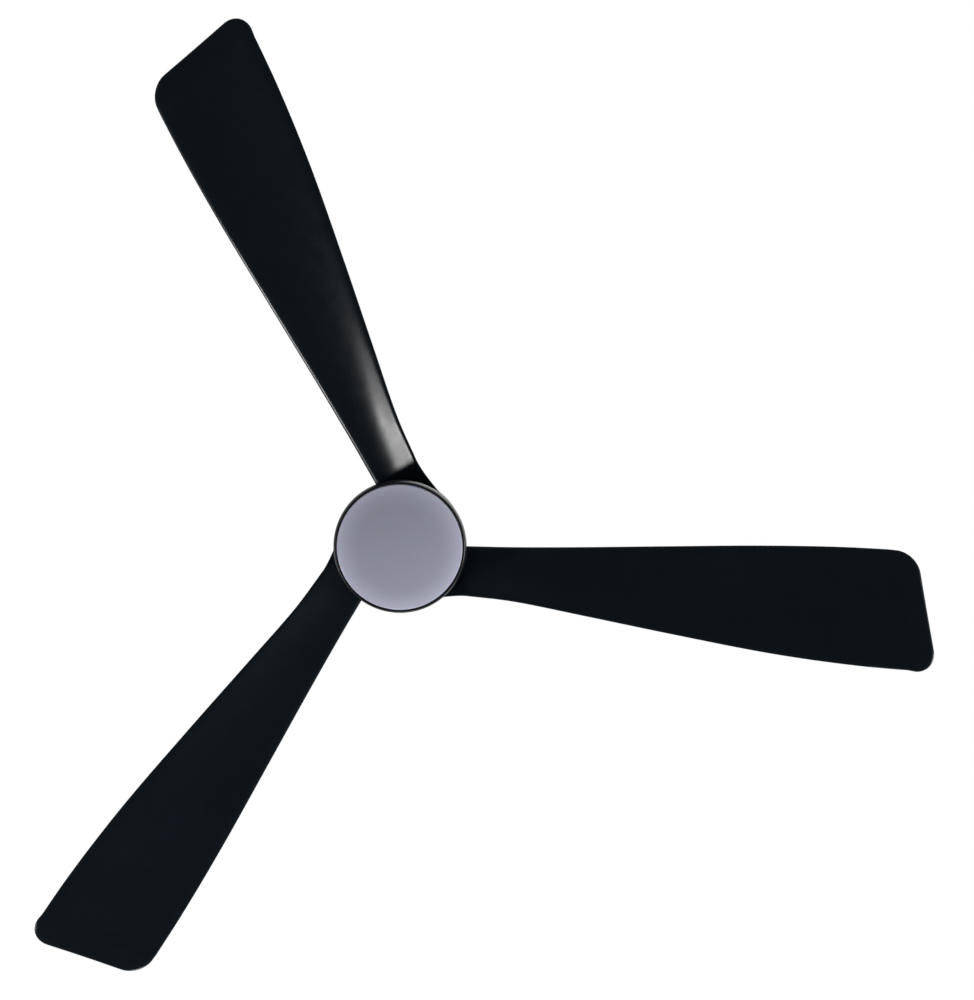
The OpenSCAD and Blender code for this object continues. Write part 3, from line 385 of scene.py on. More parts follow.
FINISHES = {
    "blade_plastic": MouldedPlastic((0.003, 0.0075, 0.012), (0.2, 0.25), 0.42, 0.006 * MM),
    "bezel_black": PaintedMetal((0.006, 0.007, 0.010), (0.28, 0.34), 0.45, 0.015 * MM),
    "black_housing": MouldedPlastic((0.007, 0.009, 0.012), (0.34, 0.42), 0.4),
    "black_paint": PaintedMetal((0.007, 0.009, 0.012)),
    "opal": OpalPlastic((0.50, 0.50, 0.61)),
    "zinc_steel": BareMetal((0.62, 0.63, 0.64), (0.3, 0.5), Grain.DRAWN, 160.0),
    "bright_steel": BareMetal((0.66, 0.66, 0.67)),
    "dark_steel": BareMetal((0.09, 0.09, 0.1), (0.4, 0.55)),
    "bearing_steel": BareMetal((0.75, 0.75, 0.76), (0.08, 0.16), Grain.TURNED, 900.0, 0.002 * MM),
    "lamination_steel": BandedMetal((0.34, 0.35, 0.37), (0.08, 0.08, 0.09), 2000.0, "Z", 0.4),
    "cast_iron": MouldedPlastic((0.05, 0.05, 0.058), (0.5, 0.7), 0.5, 0.12 * MM, 500.0, 0.25),
    "cast_aluminium": BareMetal((0.6, 0.61, 0.62), (0.38, 0.56), Grain.EVEN, 700.0, 0.05 * MM),
    "copper": BandedMetal((0.6, 0.24, 0.09), (0.2, 0.07, 0.03), 1100.0, "Z", 0.3),
    "brass": BareMetal((0.68, 0.5, 0.22)),
    "cage_brass": BareMetal((0.58, 0.42, 0.18), (0.3, 0.45), Grain.EVEN),
    "magnet": BareMetal((0.12, 0.12, 0.13), (0.5, 0.65), Grain.EVEN),
    "black_plastic": MouldedPlastic((0.018, 0.019, 0.021), (0.42, 0.55), 0.45, 0.03 * MM, 1500.0),
    "natural_plastic": MouldedPlastic((0.72, 0.68, 0.58), (0.35, 0.45), 0.5, 0.01 * MM, 1500.0, 0.04),
    "white_plastic": MouldedPlastic((0.74, 0.74, 0.72), (0.35, 0.45), 0.5, 0.01 * MM, 1500.0, 0.03),
    "white_board": MouldedPlastic((0.8, 0.81, 0.8), (0.2, 0.26), 0.5, 0.004 * MM, 900.0, 0.02),
    "led_phosphor": MouldedPlastic((0.85, 0.7, 0.25), (0.2, 0.3), 0.5, 0.004 * MM, 1500.0, 0.06),
    "red_wire": MouldedPlastic((0.45, 0.05, 0.04), (0.28, 0.36), 0.5, 0.01 * MM, 900.0, 0.06),
    "yellow_wire": MouldedPlastic((0.7, 0.52, 0.06), (0.28, 0.36), 0.5, 0.01 * MM, 900.0, 0.06),
    "white_wire": MouldedPlastic((0.76, 0.76, 0.74), (0.28, 0.36), 0.5, 0.01 * MM, 900.0, 0.04),
    "green_paint": PaintedMetal((0.06, 0.25, 0.08)),
    "rubber": MouldedPlastic((0.015, 0.015, 0.016), (0.6, 0.75), 0.35, 0.03 * MM, 1200.0),
}


class Paintshop:
    """Makes each slot's material once and hands it out."""

    def __init__(self) -> None:
        """Starts with no material made."""
        self.made: dict[str, bpy.types.Material] = {}

    def material(self, slot: str) -> bpy.types.Material:
        """The material of one of the record's slots."""
        if slot not in self.made:
            self.made[slot] = FINISHES[slot].make(slot)
        return self.made[slot]

    def dress_nodes(self) -> None:
        """Gives every carried-over CAD node its slot's material."""
        for row in frame["record"]["subparts"]:
            node = frame["nodes"][row["node"]]
            node.data.materials.clear()
            node.data.materials.append(self.material(row["material_slot"]))


# Shapes


@dataclass(frozen=True)
class Corner:
    """A corner of an outline that is turned about the fan's axis.

    Attributes:
        radius: Distance from the axis.
        level: Height.
        soft: How far along each side its rounding starts, or 0 where it is sharp.
    """

    radius: float
    level: float
    soft: float = 0.0


def arc(radius: float, level: float, across: float, up: float, first: float, last: float,
        steps: int = 16) -> list[Corner]:
    """Corners along part of an ellipse.

    Args:
        radius: Distance of the ellipse's middle from the axis.
        level: Height of its middle.
        across: Half its width.
        up: Half its height.
        first: Angle of the first corner, in degrees from straight out.
        last: Angle of the last corner.
        steps: Number of steps between them.

    Returns:
        The corners, in order.
    """
    angles = [math.radians(first + (last - first) * i / steps) for i in range(steps + 1)]
    return [Corner(radius + across * math.cos(a), level + up * math.sin(a)) for a in angles]


def outline_face(mesh: bmesh.types.BMesh, corners: list[Corner]) -> None:
    """Draws an outline as one flat face in the X-Z plane and rounds its soft corners.

    Args:
        mesh: The mesh to draw in.
        corners: The closed outline.
    """
    points = [mesh.verts.new((c.radius, 0.0, c.level)) for c in corners]
    mesh.faces.new(points)
    for point, corner in zip(points, corners):
        if corner.soft:
            bmesh.ops.bevel(mesh, geom=[point], offset=corner.soft, offset_type="OFFSET", affect="VERTICES",
                            segments=5, profile=0.5, material=-1, clamp_overlap=False)


def turned(corners: list[Corner], slices: int = 144) -> bmesh.types.BMesh:
    """Turns an outline a full turn about the fan's axis.

    Args:
        corners: The closed outline.
        slices: Number of steps round the axis.

    Returns:
        The turned mesh, closed and with its faces outwards.
    """
    mesh = bmesh.new()
    outline_face(mesh, corners)
    bmesh.ops.delete(mesh, geom=mesh.faces[:], context="FACES_ONLY")
    bmesh.ops.spin(mesh, geom=mesh.verts[:] + mesh.edges[:], cent=(0, 0, 0), axis=(0, 0, 1), angle=FULL_TURN,
                   steps=slices, use_merge=True)
    tidy(mesh)
    return mesh


def tidy(mesh: bmesh.types.BMesh) -> None:
    """Merges doubled points, drops faces with no area and turns all faces outwards.

    Args:
        mesh: The mesh to tidy.
    """
    bmesh.ops.remove_doubles(mesh, verts=mesh.verts[:], dist=1e-6)
    bmesh.ops.dissolve_degenerate(mesh, edges=mesh.edges[:], dist=1e-7)
    bmesh.ops.recalc_face_normals(mesh, faces=mesh.faces[:])


def finished(name: str, mesh: bmesh.types.BMesh, sharp: float = 32.0) -> bpy.types.Object:
    """Makes an object of a mesh, smooth but for its sharp edges.

    Args:
        name: The object's name.
        mesh: The mesh, which is freed.
        sharp: Angle in degrees above which an edge stays sharp.

    Returns:
        The object, in the scene.
    """
    data = bpy.data.meshes.new(name)
    mesh.to_mesh(data)
    mesh.free()
    for polygon in data.polygons:
        polygon.use_smooth = True
    data.set_sharp_from_angle(angle=math.radians(sharp))
    piece = bpy.data.objects.new(name, data)
    bpy.context.scene.collection.objects.link(piece)
    return piece


@dataclass
class Workshop:
    """What every sub-assembly needs to finish a piece.

    Attributes:
        paint: Where the materials come from.
    """

    paint: Paintshop

    def fit(self, piece: bpy.types.Object, slot: str, body: Body, *nodes: str) -> bpy.types.Object:
        """Dresses a piece and puts it in the place of CAD nodes.

        Args:
            piece: The finished object.
            slot: The record's slot that it is dressed from.
            body: The body that it rides on.
            nodes: The CAD nodes that it stands for.

        Returns:
            The same piece.
        """
        piece.data.materials.append(self.paint.material(slot))
        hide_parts(*nodes)
        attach(piece, body.value)
        log.info("%s: %d faces, on %s", piece.name, len(piece.data.polygons), body.value)
        return piece


def outer_radius(node: str) -> float:
    """How far a round CAD node reaches from the fan's axis."""
    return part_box(node)[1].y


def levels(node: str) -> tuple[float, float]:
    """The lowest and highest level of a CAD node."""
    low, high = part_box(node)
    return low.z, high.z


# The light


@dataclass
class OpalLens:
    """The opal lens that closes the light from below.

    Attributes:
        wall: Thickness of the plastic.
        dome: How far the middle bulges below the rim.
        edge: Radius of the rounded rim.
    """

    wall: float = 2.4 * MM
    dome: float = 8.0 * MM
    edge: float = 2.2 * MM

    def bowl(self, radius: float, lift: float) -> list[Corner]:
        """One side of the bulging middle, from the axis out.

        Args:
            radius: How far out it goes.
            lift: How far above the outer side it lies.

        Returns:
            The corners along it.
        """
        rim = outer_radius("diffuser")
        ball = (rim * rim + self.dome * self.dome) / (2 * self.dome)
        steps = 30
        reach = [radius * i / steps for i in range(steps + 1)]
        middle = RIM_LEVEL - self.dome + ball
        return [Corner(r, middle - math.sqrt((ball - lift) ** 2 - r * r)) for r in reach]

    def build(self, shop: Workshop) -> None:
        """Builds the lens and fits it.

        Args:
            shop: Where it is dressed and fitted.
        """
        rim = outer_radius("diffuser")
        top = levels("diffuser")[1]
        outer = self.bowl(rim - self.edge, 0.0)
        inner = self.bowl(rim - self.wall - self.edge, self.wall)
        corner_level = RIM_LEVEL + self.edge
        skirt = [
            *arc(rim - self.edge, corner_level, self.edge, corner_level - outer[-1].level, -80.0, 0.0, 8),
            Corner(rim, top, 0.4 * MM), Corner(rim - self.wall, top, 0.4 * MM),
            Corner(rim - self.wall, corner_level + self.wall),
        ]
        lens = finished("opal_lens", turned([*outer, *skirt, *reversed(inner)], 192))
        shop.fit(lens, "opal", Body.LENS, "diffuser")


@dataclass
class BezelRing:
    """The thin ring round the lens, which flares up to the light's housing.

    Attributes:
        bore: Radius of its lip's inside.
        lip: Width of its flat lower lip.
        flange: Radius of the inside of its flange, above the lens.
        height: Height of the ring's outside.
        seat: Level of the flange's underside above the lip.
    """

    bore: float = 75.85 * MM
    lip: float = 1.15 * MM
    flange: float = 65.0 * MM
    height: float = 13.0 * MM
    seat: float = 10.8 * MM

    def build(self, shop: Workshop) -> None:
        """Builds the ring and fits it.

        Args:
            shop: Where it is dressed and fitted.
        """
        base = RIM_LEVEL
        widest = outer_radius("bezel")
        lip_end = self.bore + self.lip
        neck = widest - 3.1 * MM
        flare = arc(lip_end, base + self.height - 1 * MM, widest - lip_end, self.height - 1 * MM, -90.0, 0.0, 20)
        ring = [
            Corner(self.bore, base, 0.25 * MM), *flare,
            Corner(widest - 0.3 * MM, base + self.height, 0.2 * MM), Corner(neck, base + self.height),
            Corner(neck, base + self.height + 5 * MM, 0.3 * MM),
            Corner(self.bore, base + self.height + 5 * MM, 0.3 * MM),
            Corner(self.bore, base + self.height), Corner(self.flange, base + self.height, 0.3 * MM),
            Corner(self.flange, base + self.seat, 0.3 * MM), Corner(self.bore, base + self.seat),
        ]
        shop.fit(finished("bezel_ring", turned(ring, 192), 40.0), "bezel_black", Body.HANGING, "bezel")


@dataclass
class LightHousing:
    """The drum between the bezel and the blades.

    Attributes:
        wall: Thickness of the plastic.
        top_radius: Radius at its upper edge.
        opening: Radius of the opening in its deck.
        edge: How far its upper edge is rounded.
    """

    wall: float = 2.0 * MM
    top_radius: float = 76.7 * MM
    opening: float = 50.0 * MM
    edge: float = 1.6 * MM

    def build(self, shop: Workshop) -> None:
        """Builds the drum and fits it.

        Args:
            shop: Where it is dressed and fitted.
        """
        foot = outer_radius("light_housing")
        low, top = levels("light_housing")
        deck = top - self.wall
        drum = [
            Corner(foot, low, 0.4 * MM), Corner(self.top_radius, top, self.edge),
            Corner(self.opening, top, 0.5 * MM), Corner(self.opening, deck, 0.5 * MM),
            Corner(self.top_radius - self.wall, deck), Corner(foot - self.wall, low, 0.4 * MM),
        ]
        shop.fit(finished("light_drum", turned(drum)), "black_housing", Body.HANGING, "light_housing")


# The blades


@dataclass(frozen=True)
class PlanRow:
    """One row of the blade's plan, with lengths in millimetres.

    Attributes:
        out: Fraction of the way from the collar to the tip.
        lead: How far the leading edge lies towards the trailing side.
        trail: How far the trailing edge lies towards the trailing side.
        lead_height: Height of the leading edge above the light's rim.
        trail_height: Height of the trailing edge above the light's rim.
    """

    out: float
    lead: float
    trail: float
    lead_height: float
    trail_height: float


@dataclass(frozen=True)
class Section:
    """A cut across the blade, in millimetres.

    Attributes:
        lead: Its leading point.
        trail: Its trailing point.
        hug: How much it follows the collar's curve, from 0 to 1.
        bow: How far its middle bows up.
        thickness: How thick it is.
        trim: Share of the full chord that is cut off at each end.
    """

    lead: Vector
    trail: Vector
    hug: float
    bow: float
    thickness: float
    trim: float = 0.0


def glide(start: float, end: float, start_slope: float, end_slope: float, t: float) -> float:
    """A smooth curve from one value to another with a given slope at each end.

    Args:
        start: Value at 0.
        end: Value at 1.
        start_slope: Slope at 0.
        end_slope: Slope at 1.
        t: Place on the curve, from 0 to 1.

    Returns:
        The value there.
    """
    return (start * (2 * t**3 - 3 * t**2 + 1) + start_slope * (t**3 - 2 * t**2 + t)
            + end * (3 * t**2 - 2 * t**3) + end_slope * (t**3 - t**2))


@dataclass
class Blade:
    """A moulded blade with its third of the collar round the motor. Its lengths are in millimetres.

    Attributes:
        number: Which of the blades it is, from 0.
        count: Number of blades.
        reach: Distance of the tip from the axis.
        collar: Radius of the collar's lower edge.
        collar_top: Radius of the collar's upper edge.
        collar_low: Level of the collar's lower edge.
        collar_high: Level of the collar's upper edge.
        wall: Thickness of the collar.
        seam: Gap between two blades' collars, in degrees.
        before: How far the collar reaches before the blade's axis, in degrees.
        start_angle: Where the leading edge meets the collar, in degrees.
        end_angle: Where the trailing edge meets the collar, in degrees.
        tip_rake: How far the tip's leading corner is set back.
        tip_corner: Radius of the tip's corners.
        web: Inner radius of the web that is screwed to the rotor, and its lowest and highest level.
        around: Number of steps along each side of a cut.
        steps: Number of cuts by the collar, along the plain part and round the tip.
    """

    number: int
    count: int = 3
    reach: float = 656.0
    collar: float = 76.2
    collar_top: float = 74.6
    collar_low: float = 62.0
    collar_high: float = 98.0
    wall: float = 3.4
    seam: float = 0.5
    before: float = 22.0
    start_angle: float = 2.6
    end_angle: float = 80.5
    tip_rake: float = 31.0
    tip_corner: float = 27.0
    web: tuple[float, float, float] = (57.0, 79.05, 84.05)
    around: int = 28
    steps: tuple[int, int, int] = (14, 56, 14)

    PLAN: ClassVar[tuple[PlanRow, ...]] = (
        PlanRow(0.00, 3.3, 62.5, 86.0, 66.0),
        PlanRow(0.10, 1.8, 66.7, 82.3, 64.0),
        PlanRow(0.25, -2.0, 80.2, 78.2, 61.2),
        PlanRow(0.45, -8.2, 98.7, 72.5, 56.4),
        PlanRow(0.65, -14.2, 115.6, 66.3, 51.2),
        PlanRow(0.83, -17.0, 125.5, 62.8, 48.0),
        PlanRow(1.00, -16.2, 129.5, 59.8, 45.2),
    )
    # At the hub and at the tip
    THICKNESS: ClassVar[tuple[float, float]] = (7.4, 5.0)
    BOW: ClassVar[tuple[float, float]] = (5.0, 4.0)
    # Share of the thickness that is left at the very end, and how square the edges are
    THIN_END: ClassVar[float] = 0.16
    EDGE_POWER: ClassVar[int] = 10

    def column(self, out: float, name: str) -> float:
        """One column of the plan, on a smooth curve through its rows.

        Args:
            out: Fraction of the way from the collar to the tip.
            name: Name of the column.

        Returns:
            The column's value there.
        """
        rows = self.PLAN
        i = max(k for k in range(len(rows) - 1) if out >= rows[k].out or k == 0)

        def slope(k: int) -> float:
            """How steeply the column changes at a row."""
            a, b = rows[max(k - 1, 0)], rows[min(k + 1, len(rows) - 1)]
            return (getattr(b, name) - getattr(a, name)) / (b.out - a.out)

        run = rows[i + 1].out - rows[i].out
        return glide(getattr(rows[i], name), getattr(rows[i + 1], name), slope(i) * run, slope(i + 1) * run,
                     (out - rows[i].out) / run)

    @property
    def start(self) -> float:
        """Distance from the axis at which the plan starts."""
        return self.collar + 4.0

    @property
    def root_radius(self) -> float:
        """Radius at which the blade ends inside the collar's wall."""
        return (self.collar + self.collar_top - self.wall) / 2 + 0.4

    def lead_point(self, out: float) -> Vector:
        """A point on the leading edge."""
        along = self.start + out * (self.reach - self.tip_rake - self.start)
        return Vector((along, self.column(out, "lead"), self.column(out, "lead_height")))

    def trail_point(self, out: float) -> Vector:
        """A point on the trailing edge."""
        along = self.start + out * (self.reach - self.start)
        return Vector((along, self.column(out, "trail"), self.column(out, "trail_height")))

    def on_collar(self, angle: float, level: float) -> Vector:
        """A point in the collar's wall, at an angle in degrees."""
        turn = math.radians(angle)
        return Vector((self.root_radius * math.cos(turn), self.root_radius * math.sin(turn), level))

    def root_section(self, t: float) -> Section:
        """A cut between the collar and the start of the plan.

        Args:
            t: How far it is from the collar, from 0 to 1.

        Returns:
            The cut.
        """
        lead, trail = self.lead_point(0.0), self.trail_point(0.0)
        lead_root = self.on_collar(self.start_angle, lead.z + 0.3)
        trail_root = self.on_collar(self.end_angle, trail.z + 0.7)
        length = (trail - trail_root).length
        turn = math.radians(self.end_angle)
        leaving = Vector((math.sin(turn), -math.cos(turn), 0.0)) * length
        arriving = Vector((length, 0.0, 0.0))
        edge = Vector([glide(trail_root[k], trail[k], leaving[k], arriving[k], t) for k in range(3)])
        return Section(lead_root.lerp(lead, t), edge, (1 - t) ** 2, self.BOW[0], self.THICKNESS[0])

    def main_section(self, out: float) -> Section:
        """A cut across the plain part of the blade.

        Args:
            out: Fraction of the way from the collar to the tip.

        Returns:
            The cut.
        """
        bow = self.BOW[0] + out * (self.BOW[1] - self.BOW[0])
        thickness = self.THICKNESS[0] + out * (self.THICKNESS[1] - self.THICKNESS[0])
        return Section(self.lead_point(out), self.trail_point(out), 0.0, bow, thickness)

    def tip_section(self, angle: float) -> Section:
        """A cut across the rounded tip.

        Args:
            angle: Angle on the tip's corners, from 90 degrees where they start to 0 at the end.

        Returns:
            The cut.
        """
        turn = math.radians(angle)
        from_end = self.tip_corner * (1 - math.cos(turn))
        lead, trail = self.lead_point(1.0), self.trail_point(1.0)
        share = self.tip_corner * (1 - math.sin(turn)) / (trail.y - lead.y)
        edge = min(1.0, from_end / (self.THICKNESS[1] / 2))
        thin = max(self.THIN_END, math.sqrt(1 - (1 - edge) ** 2))
        back = Vector((from_end, 0.0, 0.0))
        return Section(lead.lerp(trail, share) - back, trail.lerp(lead, share) - back, 0.0,
                       self.BOW[1], self.THICKNESS[1] * thin, share)

    def sections(self) -> list[Section]:
        """Makes all the cuts.

        Returns:
            The cuts, from the collar to the tip.
        """
        roots, mains, tips = self.steps
        straight_end = 1 - self.tip_corner / (self.reach - self.start)
        return [
            *[self.root_section(i / roots) for i in range(roots)],
            *[self.main_section(straight_end * i / mains) for i in range(mains)],
            *[self.tip_section(90 - i * 90 / tips) for i in range(tips + 1)],
        ]

    def ring_point(self, section: Section, k: int) -> Vector:
        """A point of a cut's outline.

        Args:
            section: The cut.
            k: Number of the point, out along the underside and back along the top.

        Returns:
            The point, in metres, at its real height.
        """
        along = k if k <= self.around else 2 * self.around - k
        s = (1 - math.cos(math.pi * along / self.around)) / 2
        side = 1 if k > self.around else -1
        first, last = self.on_collar(self.start_angle, 0.0), self.on_collar(self.end_angle, 0.0)
        angle = self.start_angle + (self.end_angle - self.start_angle) * s
        bulge = (self.on_collar(angle, 0.0) - first.lerp(last, s)) * section.hug
        edge = math.sqrt(max(0.0, 1 - abs(2 * s - 1) ** self.EDGE_POWER))
        on_chord = section.trim + s * (1 - 2 * section.trim)
        up = section.bow * 4 * on_chord * (1 - on_chord) + side * section.thickness / 2 * edge
        point = section.lead.lerp(section.trail, s) + bulge
        return Vector((point.x * MM, point.y * MM, (point.z + up) * MM + RIM_LEVEL))

    def loft(self) -> bmesh.types.BMesh:
        """Draws the first cut and extrudes it from cut to cut, out to the tip.

        Returns:
            The closed mesh.
        """
        sections = self.sections()
        size = 2 * self.around
        mesh = bmesh.new()
        ring = bmesh.ops.create_circle(mesh, segments=size, radius=1.0)["verts"]
        edges = mesh.edges[:]
        self.place_ring(ring, sections[0])
        self.close_end(mesh, ring)
        for section in sections[1:]:
            grown = bmesh.ops.extrude_edge_only(mesh, edges=edges)["geom"]
            edges = [item for item in grown if isinstance(item, bmesh.types.BMEdge)]
            fresh = {item for item in grown if isinstance(item, bmesh.types.BMVert)}
            edges = [edge for edge in edges if set(edge.verts) <= fresh]
            ring = [next(e.other_vert(v) for e in v.link_edges if e.other_vert(v) in fresh) for v in ring]
            self.place_ring(ring, section)
        self.close_end(mesh, ring)
        tidy(mesh)
        return mesh

    def place_ring(self, ring: list[bmesh.types.BMVert], section: Section) -> None:
        """Puts a ring of points on a cut's outline."""
        for k, vert in enumerate(ring):
            vert.co = self.ring_point(section, k)

    def close_end(self, mesh: bmesh.types.BMesh, ring: list[bmesh.types.BMVert]) -> None:
        """Closes a ring with a strip of faces between its underside and its top.

        Args:
            mesh: The mesh that holds the ring.
            ring: The ring's points, in order.
        """
        cap = mesh.faces.new(ring)
        for k in range(1, self.around):
            low, high = ring[k], ring[-k]
            cap = next(face for face in low.link_faces if high in face.verts)
            if len(cap.verts) > 4:
                bmesh.utils.face_split(cap, low, high)

    def collar_part(self) -> bmesh.types.BMesh:
        """Turns the collar's outline through this blade's share of the circle.

        Returns:
            The closed mesh.
        """
        lean = (self.collar - self.collar_top) / (self.collar_high - self.collar_low)
        web_in, web_low, web_high = self.web
        inner = [self.collar - (level - self.collar_low) * lean - self.wall for level in (web_high, web_low)]
        corners = [
            (self.collar, self.collar_low, 0.8), (self.collar_top, self.collar_high, 0.8),
            (self.collar_top - self.wall, self.collar_high, 0.5), (inner[0], web_high, 0.0),
            (web_in, web_high, 0.5), (web_in, web_low, 0.5), (inner[1], web_low, 0.0),
            (self.collar - self.wall, self.collar_low, 0.5),
        ]
        mesh = bmesh.new()
        outline_face(mesh, [Corner(r * MM, h * MM + RIM_LEVEL, soft * MM) for r, h, soft in corners])
        share = math.radians(360 / self.count - self.seam)
        first = Matrix.Rotation(math.radians(self.seam / 2 - self.before), 3, "Z")
        bmesh.ops.rotate(mesh, cent=(0, 0, 0), matrix=first, verts=mesh.verts[:])
        bmesh.ops.spin(mesh, geom=mesh.verts[:] + mesh.edges[:] + mesh.faces[:], cent=(0, 0, 0), axis=(0, 0, 1),
                       angle=share, steps=60, use_merge=False)
        tidy(mesh)
        return mesh

    def build(self, shop: Workshop) -> None:
        """Joins the blade to its collar, turns it to its place and fits it.

        Args:
            shop: Where it is dressed and fitted.
        """
        body = finished("blade_body", self.loft())
        collar = finished("collar_part", self.collar_part())
        union = body.modifiers.new("join", "BOOLEAN")
        union.operation = "UNION"
        union.solver = "EXACT"
        union.object = collar
        joined = bmesh.new()
        joined.from_object(body, bpy.context.evaluated_depsgraph_get())
        bpy.data.objects.remove(body)
        bpy.data.objects.remove(collar)
        turn = Matrix.Rotation(self.number * FULL_TURN / self.count, 3, "Z")
        bmesh.ops.rotate(joined, cent=(0, 0, 0), matrix=turn, verts=joined.verts[:])
        bmesh.ops.remove_doubles(joined, verts=joined.verts[:], dist=1e-6)
        label = self.number + 1
        shop.fit(finished(f"fan_blade_{label}", joined, 38.0), "blade_plastic", Body.ROTOR, f"blade_{label}")


# The motor's covers and the rod


@dataclass
class MotorCover:
    """The cover over the motor, rounded down to its lower edge.

    Attributes:
        wall: Thickness of the sheet.
        flat: Radius of its flat top.
        eye: Radius of the hole in its middle.
        seat: Thickness of its flat top.
    """

    wall: float = 2.0 * MM
    flat: float = 37.0 * MM
    eye: float = 16.3 * MM
    seat: float = 2.5 * MM

    def build(self, shop: Workshop) -> None:
        """Builds the cover and fits it.

        Args:
            shop: Where it is dressed and fitted.
        """
        reach = outer_radius("motor_cover")
        low, top = levels("motor_cover")
        inside = reach - self.wall
        cover = [
            Corner(self.eye, top, 0.4 * MM),
            *arc(self.flat, low, reach - self.flat, top - low, 90.0, 0.0, 28),
            *arc(self.flat, low, inside - self.flat, top - self.seat - low, 0.0, 90.0, 28),
            Corner(self.eye, top - self.seat, 0.4 * MM),
        ]
        shop.fit(finished("motor_cap", turned(cover), 50.0), "black_paint", Body.HANGING, "motor_cover")


@dataclass
class CouplingCover:
    """The sliding cover that sweeps up from the motor to the rod.

    Attributes:
        wall: Thickness of the sheet.
        neck: Radius at its top.
        eye: Radius of the hole for the grommet.
    """

    wall: float = 1.6 * MM
    neck: float = 14.1 * MM
    eye: float = 12.5 * MM

    def sweep(self, foot: float, neck: float, low: float, high: float) -> list[Corner]:
        """The outline from the foot up to the neck.

        Args:
            foot: Radius of the foot.
            neck: Radius of the neck.
            low: Level of the foot.
            high: Level of the neck.

        Returns:
            The corners along it.
        """
        steps = 30
        places = [i / steps for i in range(steps + 1)]
        return [Corner(foot + (neck - foot) * (0.35 * t + 0.65 * t * t), low + (high - low) * t) for t in places]

    def build(self, shop: Workshop) -> None:
        """Builds the cover and fits it.

        Args:
            shop: Where it is dressed and fitted.
        """
        foot = outer_radius("coupling_cover")
        low, top = levels("coupling_cover")
        outer = self.sweep(foot, self.neck, low, top)
        inner = self.sweep(foot - self.wall, self.neck - self.wall, low, top - self.wall)
        outer[-1] = Corner(self.neck, top, 0.5 * MM)
        rim = [Corner(self.eye, top, 0.3 * MM), Corner(self.eye, top - self.wall)]
        cover = finished("rod_cover", turned([*outer, *rim, *reversed(inner[:-1])]), 50.0)
        shop.fit(cover, "black_paint", Body.COVER, "coupling_cover")


@dataclass
class CanopyBowl:
    """The bowl against the ceiling that hides the bracket and the ball.

    Attributes:
        wall: Thickness of the sheet.
        corner: Radius of its lower corner.
        hole: Radius of the hole that the rod leans in.
        room: How far its floor is raised, so that the raised cover's grommet stays clear of it.
    """

    wall: float = 1.2 * MM
    corner: float = 26.0 * MM
    hole: float = 17.04 * MM
    room: float = 0.15 * MM

    def build(self, shop: Workshop) -> None:
        """Builds the bowl and fits it.

        Args:
            shop: Where it is dressed and fitted.
        """
        radius = outer_radius("canopy")
        low, top = levels("canopy")
        low += self.room
        bend, floor = radius - self.corner, low + self.corner
        soft = self.corner - self.wall
        bowl = [
            Corner(radius, top, 0.3 * MM), *arc(bend, floor, self.corner, self.corner, 0.0, -90.0, 28),
            Corner(self.hole, low, 0.4 * MM), Corner(self.hole, low + self.wall, 0.4 * MM),
            *arc(bend, floor, soft, soft, -90.0, 0.0, 28), Corner(radius - self.wall, top, 0.3 * MM),
        ]
        piece = finished("canopy_bowl", turned(bowl), 50.0)
        shop.fit(piece, "black_paint", Body.CEILING, "canopy")


@dataclass
class RodTube:
    """The rod between the ceiling ball and the coupling.

    Attributes:
        wall: Thickness of the tube.
        edge: How far its ends are rounded.
    """

    wall: float = 2.0 * MM
    edge: float = 0.5 * MM

    def build(self, shop: Workshop) -> None:
        """Builds the tube and fits it.

        Args:
            shop: Where it is dressed and fitted.
        """
        radius = outer_radius("downrod")
        low, top = levels("downrod")
        tube = [
            Corner(radius, low, self.edge), Corner(radius, top, self.edge),
            Corner(radius - self.wall, top, self.edge), Corner(radius - self.wall, low, self.edge),
        ]
        shop.fit(finished("rod_tube", turned(tube, 96)), "black_paint", Body.HANGING, "downrod")


# The studio


@dataclass(frozen=True)
class SoftBox:
    """A square studio light.

    Attributes:
        name: What it is for.
        place: Where it stands.
        aim: What it points at.
        size: Its width and height.
        power: Its power in watts.
    """

    name: str
    place: tuple[float, float, float]
    aim: tuple[float, float, float]
    size: tuple[float, float]
    power: float

    def build(self) -> None:
        """Hangs the light, out of the camera's sight."""
        data = bpy.data.lights.new(self.name, "AREA")
        data.shape = "RECTANGLE"
        data.size, data.size_y = self.size
        data.energy = self.power
        lamp = bpy.data.objects.new(self.name, data)
        bpy.context.scene.collection.objects.link(lamp)
        lamp.location = self.place
        lamp.rotation_euler = (Vector(self.aim) - Vector(self.place)).to_track_quat("-Z", "Y").to_euler()
        lamp.visible_camera = False


